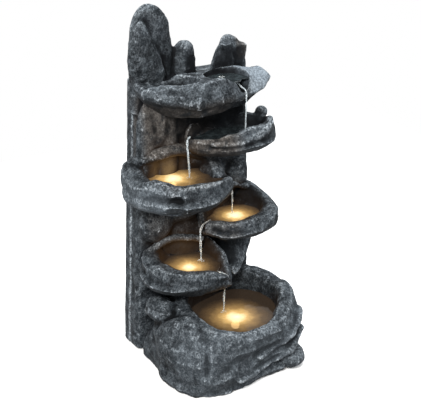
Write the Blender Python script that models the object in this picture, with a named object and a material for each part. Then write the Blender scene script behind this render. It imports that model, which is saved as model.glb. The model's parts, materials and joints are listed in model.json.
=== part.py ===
"""Tiered rock-wall water fountain: cast shells, pump, plumbing, light pods and rear access door.

The fountain stands on z = 0 and faces -Y. Five rock bowls step down the front of a tall wall.
Water is lifted from the sump behind the lowest bowl to the pool in the head, and runs back down.
"""
import math

import bmesh
import bpy
from mathutils import Matrix, Vector

GAP = 0.0003                # between pieces that touch
WALL_GAP = 0.0004           # between the wall and what is bonded to its face
SLIVER = 0.00005            # shorter edges left by a cut are dissolved

# ---- the wall: front shell and back panel, which meet at a seam ----
PAD_HEIGHT = 0.003          # rubber pads under the castings
BASE_Z = PAD_HEIGHT + GAP   # underside of the castings
SEAM_Y = 0.165              # where front shell and back panel meet
FACE_Y = 0.112              # mean front face of the wall
BACK_Y = 0.205              # outer face of the back panel
WALL_TOP = 0.782
CAVITY_X = (-0.144, 0.146)
CAVITY_Y = (0.124, 0.195)
CAVITY_Z = (0.014, 0.740)
WALL_LEVELS = (BASE_Z, 0.08, 0.16, 0.22, 0.30, 0.38, 0.46, 0.53, 0.59, 0.64, 0.69, 0.74, WALL_TOP)

# ---- sump, door and pump ----
SUMP_OUT = ((-0.100, 0.085, BASE_Z), (0.100, 0.178, 0.150))
SUMP_CLEAR = 0.004
SUMP_IN = ((-0.094, 0.1150, 0.018), (0.094, 0.172, 0.160))
PASSAGE = ((-0.030, 0.020, 0.085), (0.030, 0.120, 0.135))
DRAIN = (0.052, 0.033)      # x and z of the drain in the sump's back wall
DRAIN_R = 0.0075
GLAND = (0.118, 0.072)      # x and z of the cable gland in the back panel
DOOR_X = 0.080              # half-width of the door rebate
DOOR_Z = (0.050, 0.250)
DOOR_STEP = 0.008           # width of the ledge that the door closes on
DOOR_THICK = 0.006
HINGE_X, HINGE_Y = -0.084, 0.2096
BARREL_R, PIN_R, BORE_R = 0.0040, 0.0015, 0.0018
PUMP_X = (-0.020, 0.034)    # motor body, along X
PUMP_Y = (0.121, 0.159)
PUMP_Z = (0.0240, 0.0640)
PUMP_AXIS = (0.140, 0.044)  # y and z of the impeller's axis
RISER_R = 0.0075

# ---- bowls, basin and head ----
SEGMENTS = 26               # round a bowl

# Compass tables run from +X towards +Y in steps of 45 degrees.
BOWLS = {
    "bowl_upper_right": dict(
        centre=(0.075, 0.050), foot=(0.060, 0.105), foot_z=0.578, floor_z=0.618, floor_r=0.030,
        inner=(0.100, 0.080, 0.070, 0.085, 0.112, 0.064, 0.046, 0.072),
        outer=(0.132, 0.112, 0.095, 0.105, 0.134, 0.098, 0.088, 0.122),
        rim=(0.658, 0.668, 0.668, 0.662, 0.650, 0.646, 0.652, 0.655), spout=(170, 0.012, 0.010), seed=1.0),
    "bowl_left": dict(
        centre=(-0.085, 0.040), foot=(-0.085, 0.105), foot_z=0.452, floor_z=0.505, floor_r=0.040,
        inner=(0.118, 0.100, 0.085, 0.098, 0.086, 0.073, 0.076, 0.098),
        outer=(0.150, 0.140, 0.120, 0.162, 0.152, 0.128, 0.134, 0.140),
        rim=(0.552, 0.585, 0.590, 0.580, 0.560, 0.552, 0.550, 0.546), spout=(-3, 0.032, 0.020), seed=2.0),
    "bowl_right": dict(
        centre=(0.085, 0.030), foot=(0.085, 0.105), foot_z=0.345, floor_z=0.380, floor_r=0.032,
        inner=(0.082, 0.100, 0.090, 0.086, 0.084, 0.062, 0.050, 0.058),
        outer=(0.120, 0.138, 0.120, 0.118, 0.112, 0.114, 0.110, 0.116),
        rim=(0.434, 0.458, 0.460, 0.448, 0.424, 0.418, 0.420, 0.424), spout=(180, 0.026, 0.012), seed=3.0),
    "bowl_lower_left": dict(
        centre=(-0.060, 0.030), foot=(-0.070, 0.100), foot_z=0.212, floor_z=0.258, floor_r=0.030,
        inner=(0.080, 0.098, 0.090, 0.092, 0.072, 0.056, 0.058, 0.080),
        outer=(0.112, 0.120, 0.110, 0.136, 0.142, 0.126, 0.118, 0.116),
        rim=(0.312, 0.332, 0.335, 0.325, 0.310, 0.301, 0.298, 0.294), spout=(-40, 0.040, 0.010), seed=4.0),
}
# Outside of a bowl from foot to rim: share of the height, share of the way from foot to outer radius.
BOWL_SIDE = ((0.0, 0.36), (0.08, 0.60), (0.24, 0.82), (0.42, 0.94), (0.62, 1.0), (0.76, 0.94), (0.94, 0.94))

BASIN_CENTRE = (0.020, -0.040)
BASIN_INNER = (0.148, 0.154, 0.112, 0.112, 0.110, 0.142, 0.140, 0.124)
BASIN_LIP = (0.196, 0.198, 0.140, 0.155, 0.158, 0.184, 0.172, 0.176)
BASIN_RIM = (0.186, 0.205, 0.205, 0.198, 0.188, 0.176, 0.168, 0.172)
BASIN_WAIST = (0.2062, 0.210, 0.150, 0.196, 0.218, 0.212, 0.162, 0.190)
BASIN_FOOT = ((0.186, 0.100), (0.190, 0.030), (0.186, -0.060), (0.172, -0.112), (0.140, -0.152),
              (0.108, -0.178), (0.066, -0.174), (0.012, -0.187), (-0.038, -0.201), (-0.118, -0.201),
              (-0.171, -0.160), (-0.200, -0.107), (-0.200, -0.063), (-0.184, 0.015), (-0.190, 0.100))
BASIN_FLOOR_Z = 0.085
FOOT_RIM = 0.030            # width of the rim that the basin stands on
PADS = (("front_left", -0.150, -0.157), ("front_right", 0.102, -0.161),
        ("back_left", -0.165, 0.150), ("back_right", 0.155, 0.150))
PAD_R = 0.0110
BASIN_SEGMENTS = 32

# Light pods: bowl, place on its floor, where the lead comes out in the cavity, and its drop under the pod.
LIGHTS = {
    "left": ("bowl_left", (-0.095, 0.036), (-0.105, 0.130, 0.470), 0.014),
    "right": ("bowl_right", (0.090, 0.030), (0.110, 0.130, 0.354), 0.014),
    "lower_left": ("bowl_lower_left", (-0.062, 0.030), (-0.086, 0.130, 0.226), 0.014),
    "basin": (None, (0.030, -0.050), (0.120, 0.130, 0.052), 0.035),
}
POD_R, POD_WALL, POD_HEIGHT, LENS_HEIGHT, GASKET_HEIGHT = 0.0160, 0.0020, 0.0080, 0.0030, 0.0015
LEAD_R, LEAD_HOLE_R = 0.0020, 0.0042
JUNCTION = ((0.096, 0.1295, 0.262), (0.140, 0.1595, 0.302))

HEAD_CENTRE = (0.010, 0.060)
HEAD_EDGE = ((0.208, 0.096, 0.774), (0.208, 0.050, 0.764), (0.156, 0.018, 0.756), (0.104, 0.022, 0.738),
             (0.066, 0.000, 0.746), (0.026, -0.014, 0.752), (-0.024, -0.024, 0.748), (-0.074, -0.034, 0.748),
             (-0.108, -0.002, 0.762), (-0.148, 0.012, 0.766), (-0.180, 0.050, 0.772), (-0.186, 0.096, 0.782))
HEAD_BACK = 0.1155           # the head ends just before the crags
HEAD_SEGMENTS = 28
# Head from underside to top: share of the edge radius, how far the height follows the edge, and the height.
HEAD_SECTION = ((0.30, 0.0, 0.700), (0.62, 0.0, 0.708), (0.84, 0.5, 0.722), (0.97, 1.0, -0.010),
                (1.00, 1.0, 0.004), (0.95, 1.0, 0.016), (0.84, 0.45, 0.798), (0.60, 0.0, 0.800))
POOL = (0.060, 0.066, 0.800)
RISER_TOP = ((0.060, 0.150, 0.684), (0.060, 0.078, 0.764))


# ---------------------------------------------------------------- helpers

def clear_scene():
    for item in list(bpy.data.objects):
        bpy.data.objects.remove(item)


def compass(table, angle):
    """Smooth closed interpolation of a table of equal steps round the compass, angle in radians."""
    count = len(table)
    place = (angle / (2 * math.pi) % 1.0) * count
    k = int(place)
    t = place - k
    a, b, c, d = (table[(k + step) % count] for step in (-1, 0, 1, 2))
    return b + 0.5 * t * (c - a + t * (2 * a - 5 * b + 4 * c - d + t * (3 * (b - c) + d - a)))


def polar_outline(points, centre):
    """Function of angle that gives the radius and height of a closed hand-set outline round a centre."""
    rows = []
    for point in points:
        x, y = point[0] - centre[0], point[1] - centre[1]
        height = point[2] if len(point) > 2 else 0.0
        rows.append((math.atan2(y, x) % (2 * math.pi), math.hypot(x, y), height))
    rows.sort()

    def at(angle):
        angle %= 2 * math.pi
        count = len(rows)
        k = max((i for i in range(count) if rows[i][0] <= angle), default=-1)
        low, high = rows[k], rows[(k + 1) % count]
        span = (high[0] - low[0]) % (2 * math.pi) or 2 * math.pi
        t = ((angle - low[0]) % (2 * math.pi)) / span
        t = t * t * (3 - 2 * t) * 0.5 + t * 0.5
        return low[1] + t * (high[1] - low[1]), low[2] + t * (high[2] - low[2])

    return at


def smooth(low, high, value):
    t = min(1.0, max(0.0, (value - low) / (high - low)))
    return t * t * (3 - 2 * t)


def bump(value, centre, width):
    return math.exp(-((value - centre) / width) ** 2)


def solid(name, bm):
    bmesh.ops.recalc_face_normals(bm, faces=bm.faces)
    mesh = bpy.data.meshes.new(name)
    bm.to_mesh(mesh)
    bm.free()
    body = bpy.data.objects.new(name, mesh)
    bpy.context.scene.collection.objects.link(body)
    return body


def skin(name, rings, start=None, end=None):
    """One closed body through rings of equal count. A start or end point closes an end to a pole."""
    bm = bmesh.new()
    loops = [[bm.verts.new(point) for point in ring] for ring in rings]
    count = len(loops[0])
    for low, high in zip(loops, loops[1:]):
        for i in range(count):
            j = (i + 1) % count
            bm.faces.new((low[i], low[j], high[j], high[i]))
    for loop, pole in ((loops[0], start), (loops[-1], end)):
        if pole is None:
            bm.faces.new(loop)
            continue
        tip = bm.verts.new(pole)
        for i in range(count):
            bm.faces.new((loop[i], loop[(i + 1) % count], tip))
    bmesh.ops.triangulate(bm, faces=bm.faces, quad_method="FIXED")
    return solid(name, bm)


def box(name, low, high, bevel=0.0):
    bm = bmesh.new()
    size = [b - a for a, b in zip(low, high)]
    middle = [(a + b) / 2 for a, b in zip(low, high)]
    bmesh.ops.create_cube(bm, size=1.0, matrix=Matrix.Translation(middle) @ Matrix.Diagonal((*size, 1.0)))
    if bevel:
        bmesh.ops.bevel(bm, geom=bm.edges[:], offset=bevel, segments=2, affect="EDGES", profile=0.5)
    return solid(name, bm)


def turned(name, profile, base, axis, segments=16):
    """Closed turned body: profile holds (distance along axis, radius) from end to end."""
    direction = Vector(axis).normalized()
    side = direction.orthogonal().normalized()
    up = direction.cross(side)
    rings = []
    for along, radius in profile:
        middle = Vector(base) + direction * along
        turns = [2 * math.pi * i / segments for i in range(segments)]
        rings.append([middle + radius * (math.cos(a) * side + math.sin(a) * up) for a in turns])
    return skin(name, rings)


def rod(name, start, end, radius, segments=16):
    start, end = Vector(start), Vector(end)
    return turned(name, ((0.0, radius), ((end - start).length, radius)), start, end - start, segments)


def tube_ring(name, profile, base, axis, segments=16):
    """Closed ring-shaped body: the profile of (along, radius) is a loop round the wall's section."""
    direction = Vector(axis).normalized()
    side = direction.orthogonal().normalized()
    up = direction.cross(side)
    bm = bmesh.new()
    loops = []
    for along, radius in profile:
        middle = Vector(base) + direction * along
        turns = [2 * math.pi * i / segments for i in range(segments)]
        loops.append([bm.verts.new(middle + radius * (math.cos(a) * side + math.sin(a) * up)) for a in turns])
    for k, low in enumerate(loops):
        high = loops[(k + 1) % len(loops)]
        for i in range(segments):
            j = (i + 1) % segments
            bm.faces.new((low[i], low[j], high[j], high[i]))
    return solid(name, bm)


def boolean(body, tool, operation):
    """Cut, join or keep the common part with a tool, which is used up."""
    change = body.modifiers.new(operation.lower(), "BOOLEAN")
    change.operation = operation
    change.solver = "EXACT"
    change.object = tool
    shaped = body.evaluated_get(bpy.context.evaluated_depsgraph_get())
    mesh = bpy.data.meshes.new_from_object(shaped)
    tidy = bmesh.new()
    tidy.from_mesh(mesh)
    bmesh.ops.dissolve_degenerate(tidy, dist=SLIVER, edges=tidy.edges)
    tidy.to_mesh(mesh)
    tidy.free()
    body.modifiers.clear()
    body.data = mesh
    bpy.data.objects.remove(tool)
    return body


def cut(body, tool):
    return boolean(body, tool, "DIFFERENCE")


def join(body, tool):
    return boolean(body, tool, "UNION")


def set_origin(body, point):
    body.data.transform(Matrix.Translation(-Vector(point)))
    body.location = point


def finish(body, colour, roughness, metallic=0.0, smooth_angle=None):
    """Give a body its own material, and shade round bodies smooth."""
    paint = bpy.data.materials.new(body.name + "_finish")
    paint.use_nodes = True
    shader = paint.node_tree.nodes["Principled BSDF"]
    shader.inputs["Base Color"].default_value = (*colour, 1.0)
    shader.inputs["Roughness"].default_value = roughness
    shader.inputs["Metallic"].default_value = metallic
    body.data.materials.clear()
    body.data.materials.append(paint)
    if smooth_angle and body.type == "MESH":
        body.data.shade_smooth()
        body.data.set_sharp_from_angle(angle=math.radians(smooth_angle))
    return body


def rock(body):
    return finish(body, (0.075, 0.082, 0.090), 0.82, smooth_angle=50)


def plastic(body, shade=0.02):
    return finish(body, (shade, shade, shade * 1.1), 0.45, smooth_angle=35)


# ---------------------------------------------------------------- wall

def wall_left(z):
    return -0.191 + 0.034 * smooth(0.0, 1.0, z) + 0.006 * smooth(0.02, 0.2, z)


def wall_right(z):
    return 0.184 - 0.010 * smooth(0.1, 0.7, z)


def relief(x, z):
    """How far the rock stands out from the wall's mean face."""
    spine = 0.026 * bump(x, 0.0, 0.075) * (1 - smooth(0.50, 0.66, z)) * smooth(0.20, 0.30, z)
    brow = 0.040 * bump(x, -0.108, 0.046) * smooth(0.56, 0.67, z) * (1 - smooth(0.72, 0.80, z))
    pillar = 0.016 * bump(x, 0.118, 0.035) * smooth(0.46, 0.52, z) * (1 - smooth(0.60, 0.68, z))
    flutes = 0.003 * math.sin(x * 95 + 2.2 * math.sin(z * 9)) * smooth(0.2, 0.3, z)
    return spine + brow + pillar + flutes


def front_face(x, z):
    """Y of the wall's front face, rounded at both side edges."""
    edge = min(x - wall_left(z), wall_right(z) - x)
    t = min(1.0, max(0.0, edge / 0.022))
    round_off = 0.020 * (1 - math.sqrt(1 - (1 - t) ** 2))
    return FACE_Y - relief(x, z) * smooth(0.0, 0.03, edge) + round_off


def slab_ring(z, back, grow=0.0, samples=12):
    """Section of the wall at a height: front from left to right, then straight along the back."""
    level = min(max(z, BASE_Z), WALL_TOP)
    left, right = wall_left(level), wall_right(level)
    middle, half = (left + right) / 2, (right - left) / 2
    ring = []
    for i in range(samples + 1):
        across = -math.cos(math.pi * i / samples)
        x = middle + half * across
        ring.append((x + grow * across, front_face(x, level) - grow, z))
    return ring + [(right + grow, back, z), (left - grow, back, z)]


def crag(name, centre, half_width, half_depth, low, top, lean, point):
    """Rounded rock pillar that narrows from half its height to a blunt top."""
    rings = []
    for share in (0.0, 0.5, 0.68, 0.82, 0.92, 0.97):
        z = low + (top - low) * share
        narrow = 1.0 if share < 0.5 else max(0.0, 1 - ((share - 0.5) / 0.5) ** 2.2) ** point
        ring = []
        for i in range(CRAG_SEGMENTS):
            a = 2 * math.pi * i / CRAG_SEGMENTS
            wobble = 1 + 0.05 * math.sin(3 * a + 9 * z + centre[0] * 40)
            x = centre[0] + lean * (share - 0.5) + half_width * narrow * wobble * math.cos(a)
            y = centre[1] + half_depth * (0.25 + 0.75 * narrow) * wobble * math.sin(a)
            ring.append((x, y, z))
        rings.append(ring)
    middle = (centre[0], centre[1], low)
    return skin(name, rings, start=middle, end=(centre[0] + lean * 0.5, centre[1], top))


CRAG_SEGMENTS = 13
CRAG_LOW = 0.700            # the crags start inside the solid top of the wall
# Crags: centre, half-width, half-depth, top, lean and how blunt the top is (a lower power is blunter).
CRAGS = (
    ("tall_rear", (-0.098, 0.167), 0.065, 0.035, 0.968, 0.000, 0.46),
    ("tall_front", (-0.136, 0.148), 0.036, 0.031, 0.932, 0.006, 0.46),
    ("small", (-0.012, 0.150), 0.037, 0.030, 0.878, 0.004, 0.40),
    ("right_front", (0.104, 0.146), 0.036, 0.028, 0.858, 0.012, 0.46),
    ("right_middle", (0.136, 0.158), 0.038, 0.032, 0.872, -0.004, 0.42),
    ("right_end", (0.156, 0.150), 0.024, 0.029, 0.850, -0.004, 0.45),
)


def add_crags(body):
    for label, centre, half_width, half_depth, top, lean, point in CRAGS:
        join(body, crag("crag_" + label, centre, half_width, half_depth, CRAG_LOW, top, lean, point))


def sump_way():
    """Room for the sump box in the castings behind the basin."""
    low, high = SUMP_OUT
    far = tuple(edge + SUMP_CLEAR for edge in high)
    return box("sump_way", (low[0] - SUMP_CLEAR, 0.0, -0.1), far)


def wall_outline(grow):
    """The wall's outside grown by a little, with its back far behind, for cutting what leans on it."""
    levels = (-0.05,) + WALL_LEVELS + (1.1,)
    return skin("wall_outline", [slab_ring(z, 0.6, grow) for z in levels])


def build_wall():
    shell = skin("wall_shell", [slab_ring(z, SEAM_Y + 0.02) for z in WALL_LEVELS])
    add_crags(shell)
    cut(shell, box("behind_seam", (-0.4, SEAM_Y, -0.1), (0.4, 0.5, 1.2)))
    cut(shell, box("cavity", (CAVITY_X[0], CAVITY_Y[0], CAVITY_Z[0]), (CAVITY_X[1], 0.3, CAVITY_Z[1])))
    cut(shell, sump_way())
    for label in LIGHTS:
        _, turn, end = lead_line(label)
        way = (end - turn).normalized()
        cut(shell, rod("lead_hole", end - way * 0.080, end + way * 0.012, LEAD_HOLE_R, 10))
    cut(shell, riser_bore())
    return rock(shell)


def back_ring(z):
    left, right = wall_left(z), wall_right(z)
    chamfer = 0.010
    front = SEAM_Y - 0.02
    ring = [(left, front, z), (right, front, z), (right, BACK_Y - chamfer, z)]
    ring += [(right - chamfer * 0.3, BACK_Y - 0.003, z), (right - chamfer, BACK_Y, z)]
    ring += [(left + chamfer, BACK_Y, z), (left + chamfer * 0.3, BACK_Y - 0.003, z)]
    return ring + [(left, BACK_Y - chamfer, z)]


def build_back():
    panel = skin("back_panel", [back_ring(z) for z in (BASE_Z, 0.10, 0.20, 0.30, 0.42, 0.54, 0.66, WALL_TOP)])
    add_crags(panel)
    cut(panel, box("before_seam", (-0.4, -0.2, -0.1), (0.4, SEAM_Y + GAP, 1.2)))
    cut(panel, box("cavity", (CAVITY_X[0], 0.0, CAVITY_Z[0]), (CAVITY_X[1], CAVITY_Y[1], CAVITY_Z[1])))
    cut(panel, sump_way())
    step, top = DOOR_STEP, 0.0005
    way = (DOOR_X - step, 0.3, DOOR_Z[1] - step)
    cut(panel, box("door_way", (-DOOR_X + step, 0.15, DOOR_Z[0] + step), way))
    seat = BACK_Y - DOOR_THICK - GAP
    cut(panel, box("door_seat", (-DOOR_X - top, seat, DOOR_Z[0] - top), (DOOR_X + top, 0.3, DOOR_Z[1] + top)))
    cut(panel, rod("cable_hole", (GLAND[0], 0.18, GLAND[1]), (GLAND[0], 0.22, GLAND[1]), 0.0065))
    cut(panel, rod("drain_way", (DRAIN[0], 0.17, DRAIN[1]), (DRAIN[0], 0.22, DRAIN[1]), 0.0120))
    return rock(panel)


# ---------------------------------------------------------------- bowls

def bowl_radii(data, angle):
    """Inner radius, outer radius and rim height of a bowl, with its spout, at an angle."""
    heading, drop, reach = data["spout"]
    off = (angle - math.radians(heading) + math.pi) % (2 * math.pi) - math.pi
    notch = math.exp(-(off / 0.24) ** 2)
    wobble = 0.003 * math.sin(3 * angle + data["seed"]) + 0.002 * math.sin(7 * angle + 2 * data["seed"])
    inner = compass(data["inner"], angle) + wobble * 0.5 + reach * notch
    outer = max(compass(data["outer"], angle) + wobble, inner + 0.016)
    rim = compass(data["rim"], angle) - drop * notch + 0.0015 * math.sin(5 * angle + data["seed"])
    return inner, outer, rim


def bowl_rings(data):
    turns = [2 * math.pi * i / SEGMENTS for i in range(SEGMENTS)]
    cx, cy = data["centre"]
    fx, fy = data["foot"]
    rings = []
    for height, spread in BOWL_SIDE:
        ring = []
        for a in turns:
            _, outer, rim = bowl_radii(data, a)
            strata = 1 + 0.035 * math.sin(26 * height + 2 * a + data["seed"])
            x = fx + (cx + outer * math.cos(a) - fx) * spread * strata
            y = fy + (cy + outer * math.sin(a) - fy) * spread * strata
            lip_z = rim - 0.004
            ring.append((x, y, data["foot_z"] + (lip_z - data["foot_z"]) * height))
        rings.append(ring)
    # over the lip, down the inner wall and out on the floor
    for blend, sink in ((0.72, 0.0), (0.28, 0.0005), (0.0, 0.007)):
        ring = []
        for a in turns:
            inner, outer, rim = bowl_radii(data, a)
            radius = inner + (outer * 0.94 - inner) * blend
            ring.append((cx + radius * math.cos(a), cy + radius * math.sin(a), rim - sink))
        rings.append(ring)
    for inset, share in ((0.90, 0.55),):
        ring = []
        for a in turns:
            inner, _, rim = bowl_radii(data, a)
            inner = max(data["floor_r"] * 1.1, inner * inset)
            z = rim + (data["floor_z"] - rim) * share
            ring.append((cx + inner * math.cos(a), cy + inner * math.sin(a), z))
        rings.append(ring)
    flat = data["floor_r"]
    rings.append([(cx + flat * math.cos(a), cy + flat * math.sin(a), data["floor_z"]) for a in turns])
    return rings


def bowl_skin(name, data):
    """A whole bowl, before the wall takes its back away."""
    start = (*data["foot"], data["foot_z"])
    return skin(name, bowl_rings(data), start=start, end=(*data["centre"], data["floor_z"]))


def build_bowls():
    bowls = {name: bowl_skin(name, data) for name, data in BOWLS.items()}
    join(bowls["bowl_upper_right"], boulder("knob", (0.196, 0.090, 0.664), (0.020, 0.020, 0.017)))
    for name, body in bowls.items():
        cut(body, wall_outline(WALL_GAP))
    for label, light in LIGHTS.items():
        if light[0]:
            drill_lead(bowls[light[0]], label)
    for body in bowls.values():
        rock(body)
    return bowls


def boulder(name, centre, radii, turn=0.0, segments=14, levels=8):
    """Rounded stone, a little uneven."""
    rings = []
    for k in range(1, levels):
        lift = math.pi * k / levels - math.pi / 2
        ring = []
        for i in range(segments):
            a = 2 * math.pi * i / segments
            uneven = 1 + 0.05 * math.sin(2 * a + 3 * lift) + 0.03 * math.sin(5 * a - 2 * lift)
            x = radii[0] * math.cos(lift) * math.cos(a) * uneven
            y = radii[1] * math.cos(lift) * math.sin(a) * uneven
            ring.append((centre[0] + x * math.cos(turn) - y * math.sin(turn),
                         centre[1] + x * math.sin(turn) + y * math.cos(turn),
                         centre[2] + radii[2] * math.sin(lift)))
        rings.append(ring)
    low = (centre[0], centre[1], centre[2] - radii[2])
    high = (centre[0], centre[1], centre[2] + radii[2])
    return skin(name, rings, start=low, end=high)


# ---------------------------------------------------------------- basin

def basin_rings():
    turns = [2 * math.pi * i / BASIN_SEGMENTS for i in range(BASIN_SEGMENTS)]
    cx, cy = BASIN_CENTRE
    foot = polar_outline(BASIN_FOOT, BASIN_CENTRE)
    rings = []

    def ring(radius, height):
        rings.append([(cx + radius(a) * math.cos(a), cy + radius(a) * math.sin(a), height(a)) for a in turns])

    def layered(share):
        """Body between foot and waist, with rock layers that climb round the front right."""
        def radius(a):
            low, waist = foot(a)[0], compass(BASIN_WAIST, a)
            side = smooth(-0.6, 0.4, math.cos(a + 0.6))
            layer = 0.009 * side * math.sin(22 * (share + 0.10 * a)) + 0.004 * math.sin(4 * a + 9 * share)
            return low + (waist - low) * share + layer
        return radius

    ring(lambda a: foot(a)[0] - 0.006, lambda a: BASE_Z - 0.010)
    for share, z in ((0.1, 0.018), (0.3, 0.040), (0.5, 0.062), (0.7, 0.084), (0.88, 0.106), (1.0, 0.126)):
        ring(layered(share), lambda a, z=z: z)
    ring(lambda a: 0.5 * compass(BASIN_WAIST, a) + 0.5 * compass(BASIN_LIP, a) + 0.002,
         lambda a: 0.45 * compass(BASIN_RIM, a) + 0.55 * 0.126)
    ring(lambda a: compass(BASIN_LIP, a) + 0.003, lambda a: compass(BASIN_RIM, a) - 0.014)
    ring(lambda a: compass(BASIN_LIP, a) - 0.008, lambda a: compass(BASIN_RIM, a) - 0.002)
    ring(lambda a: compass(BASIN_INNER, a) + 0.012, lambda a: compass(BASIN_RIM, a))
    ring(lambda a: compass(BASIN_INNER, a), lambda a: compass(BASIN_RIM, a) - 0.008)
    ring(lambda a: compass(BASIN_INNER, a) * 0.94, lambda a: 0.135)
    ring(lambda a: compass(BASIN_INNER, a) * 0.80, lambda a: 0.096)
    ring(lambda a: 0.055, lambda a: BASIN_FLOOR_Z)
    return rings


def basin_hollow():
    """Open space under the basin: the casting stands on a broad rim."""
    cx, cy = BASIN_CENTRE
    foot = polar_outline(BASIN_FOOT, BASIN_CENTRE)
    turns = [2 * math.pi * i / 24 for i in range(24)]
    rings = []
    levels = ((BASE_Z - 0.02, 0.0, 1.0), (0.040, 0.002, 1.0), (0.060, 0.006, 0.85), (0.071, 0.0, 0.55))
    for z, inset, share in levels:
        ring = []
        for a in turns:
            reach = (foot(a)[0] - FOOT_RIM - inset) * share
            ring.append((cx + reach * math.cos(a), cy + reach * math.sin(a), z))
        rings.append(ring)
    hollow = skin("hollow", rings)
    return cut(hollow, box("behind", (-0.5, SUMP_OUT[0][1] - 0.008, -0.5), (0.5, 0.5, 0.5)))


def build_basin():
    cx, cy = BASIN_CENTRE
    basin = skin("basin", basin_rings(), start=(cx, cy, BASE_Z - 0.010), end=(cx, cy, BASIN_FLOOR_Z))
    join(basin, boulder("shoulder", (-0.142, -0.082, 0.098), (0.062, 0.108, 0.090), turn=0.30))
    join(basin, boulder("back_lobe", (-0.150, 0.040, 0.165), (0.042, 0.060, 0.036), turn=0.1))
    cut(basin, wall_outline(WALL_GAP))
    low, high = SUMP_OUT
    join(basin, box("sump", (low[0], low[1], BASE_Z - 0.02), high))
    cut(basin, box("below", (-0.5, -0.5, -0.2), (0.5, 0.5, BASE_Z)))
    cut(basin, box("sump_space", *SUMP_IN))
    cut(basin, box("passage", *PASSAGE))
    cut(basin, rod("drain_hole", (DRAIN[0], 0.16, DRAIN[1]), (DRAIN[0], 0.19, DRAIN[1]), DRAIN_R + GAP, 20))
    cut(basin, basin_hollow())
    drill_lead(basin, "basin")
    return rock(basin)


def build_foot_boulder():
    stone = boulder("foot_boulder", (0.142, -0.154, 0.036), (0.046, 0.050, 0.036), turn=0.7)
    cut(stone, box("below", (-0.5, -0.5, -0.2), (0.5, 0.5, BASE_Z)))
    cx, cy = BASIN_CENTRE
    grown = skin("basin_outline", basin_rings(), start=(cx, cy, BASE_Z - 0.010), end=(cx, cy, BASIN_FLOOR_Z))
    middle = Matrix.Translation((cx, cy, 0.0))
    grown.data.transform(middle @ Matrix.Diagonal((1.003, 1.003, 1.0, 1.0)) @ middle.inverted())
    cut(stone, grown)
    return rock(stone)


def fin_ring(middle, wide, thick, tilt, count=14):
    """Level section of the fin, turned by a tilt and rising to the right."""
    ring = []
    for i in range(count):
        a = 2 * math.pi * i / count
        u, v = wide * math.cos(a), thick * math.sin(a)
        x = middle[0] + u * math.cos(tilt) - v * math.sin(tilt)
        y = middle[1] + v * math.cos(tilt) + u * math.sin(tilt)
        ring.append((x, y, middle[2] + 0.35 * u))
    return ring


def build_rock_fin():
    """Tongue of rock that hangs from under the right bowl down beside the lower left bowl's spout."""
    stations = (((0.110, 0.090, 0.372), 0.066, 0.048), ((0.110, 0.086, 0.342), 0.066, 0.050),
                ((0.106, 0.076, 0.312), 0.058, 0.050), ((0.092, 0.048, 0.280), 0.040, 0.036),
                ((0.076, 0.018, 0.254), 0.022, 0.021), ((0.064, 0.002, 0.240), 0.009, 0.010))
    rings = [fin_ring(middle, wide, thick, 0.4) for middle, wide, thick in stations]
    fin = skin("rock_fin", rings[::-1], start=(0.060, -0.006, 0.234), end=(0.110, 0.092, 0.380))
    cut(fin, wall_outline(WALL_GAP))
    above = bowl_skin("bowl_above", BOWLS["bowl_right"])
    above.data.transform(Matrix.Translation((0.0, 0.0, -2 * GAP)))
    return cut(fin, above)


# ---------------------------------------------------------------- head

def head_rings():
    edge = polar_outline(HEAD_EDGE, HEAD_CENTRE)
    turns = [2 * math.pi * i / HEAD_SEGMENTS for i in range(HEAD_SEGMENTS)]
    cx, cy = HEAD_CENTRE
    rings = []
    for share, follow, level in HEAD_SECTION:
        ring = []
        for a in turns:
            radius, height = edge(a)
            z = height + level if follow == 1.0 else level * (1 - follow) + height * follow
            back = smooth(0.0, 0.06, (cy + radius * share * math.sin(a)) - 0.05)
            if share <= 0.84 and level < 0.75:
                z -= 0.018 * back
            ring.append((cx + radius * share * math.cos(a), cy + radius * share * math.sin(a), z))
        rings.append(ring)
    return rings


def build_head():
    cx, cy = HEAD_CENTRE
    head = skin("head_cascade", head_rings(), start=(cx, cy, 0.690), end=(cx, cy, 0.800))
    join(head, boulder("left_rim", (-0.112, 0.040, 0.783), (0.066, 0.026, 0.017), turn=-0.35))
    cut(head, wall_outline(WALL_GAP))
    cut(head, box("behind", (-0.4, HEAD_BACK, 0.5), (0.4, 0.5, 1.2)))
    x, y, z = POOL
    cut(head, boulder("pool", (x, y, z), (0.058, 0.042, 0.036), turn=0.1, segments=20))
    cut(head, boulder("channel", (0.098, 0.032, 0.786), (0.020, 0.046, 0.036), turn=-0.30))
    cut(head, boulder("dish", (-0.078, 0.078, 0.806), (0.062, 0.024, 0.024), turn=-0.25))
    cut(head, riser_bore())
    low, high = (Vector(point) for point in RISER_TOP)
    way = (high - low).normalized()
    cut(head, rod("outlet_recess", high + way * 0.0060, high + way * 0.05, 0.0102))
    return rock(head)


# ---------------------------------------------------------------- plumbing and leads

def riser_bore():
    (ax, ay, az), (bx, by, bz) = RISER_TOP
    return rod("riser_bore", (ax, ay + 0.009, az - 0.010), (bx, by - 0.018, bz + 0.020), RISER_R + 0.0008, 20)


def pod_place(label):
    owner, (x, y) = LIGHTS[label][:2]
    floor = BOWLS[owner]["floor_z"] if owner else BASIN_FLOOR_Z
    return Vector((x, y, floor + GAP))


def lead_line(label):
    """Start under a pod, the turn below it, and the way out into the wall's cavity."""
    start = pod_place(label)
    return start, start - Vector((0, 0, LIGHTS[label][3])), Vector(LIGHTS[label][2])


def drill_lead(body, label):
    """Drill straight down under the pod, then back at a slant to the cavity."""
    start, turn, end = lead_line(label)
    way = (end - turn).normalized()
    cut(body, rod("lead_slant", turn - way * 0.001, end + way * 0.012, LEAD_HOLE_R, 10))
    cut(body, rod("lead_drop", start + Vector((0, 0, 0.004)), turn - Vector((0, 0, 0.001)), LEAD_HOLE_R, 10))


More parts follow.
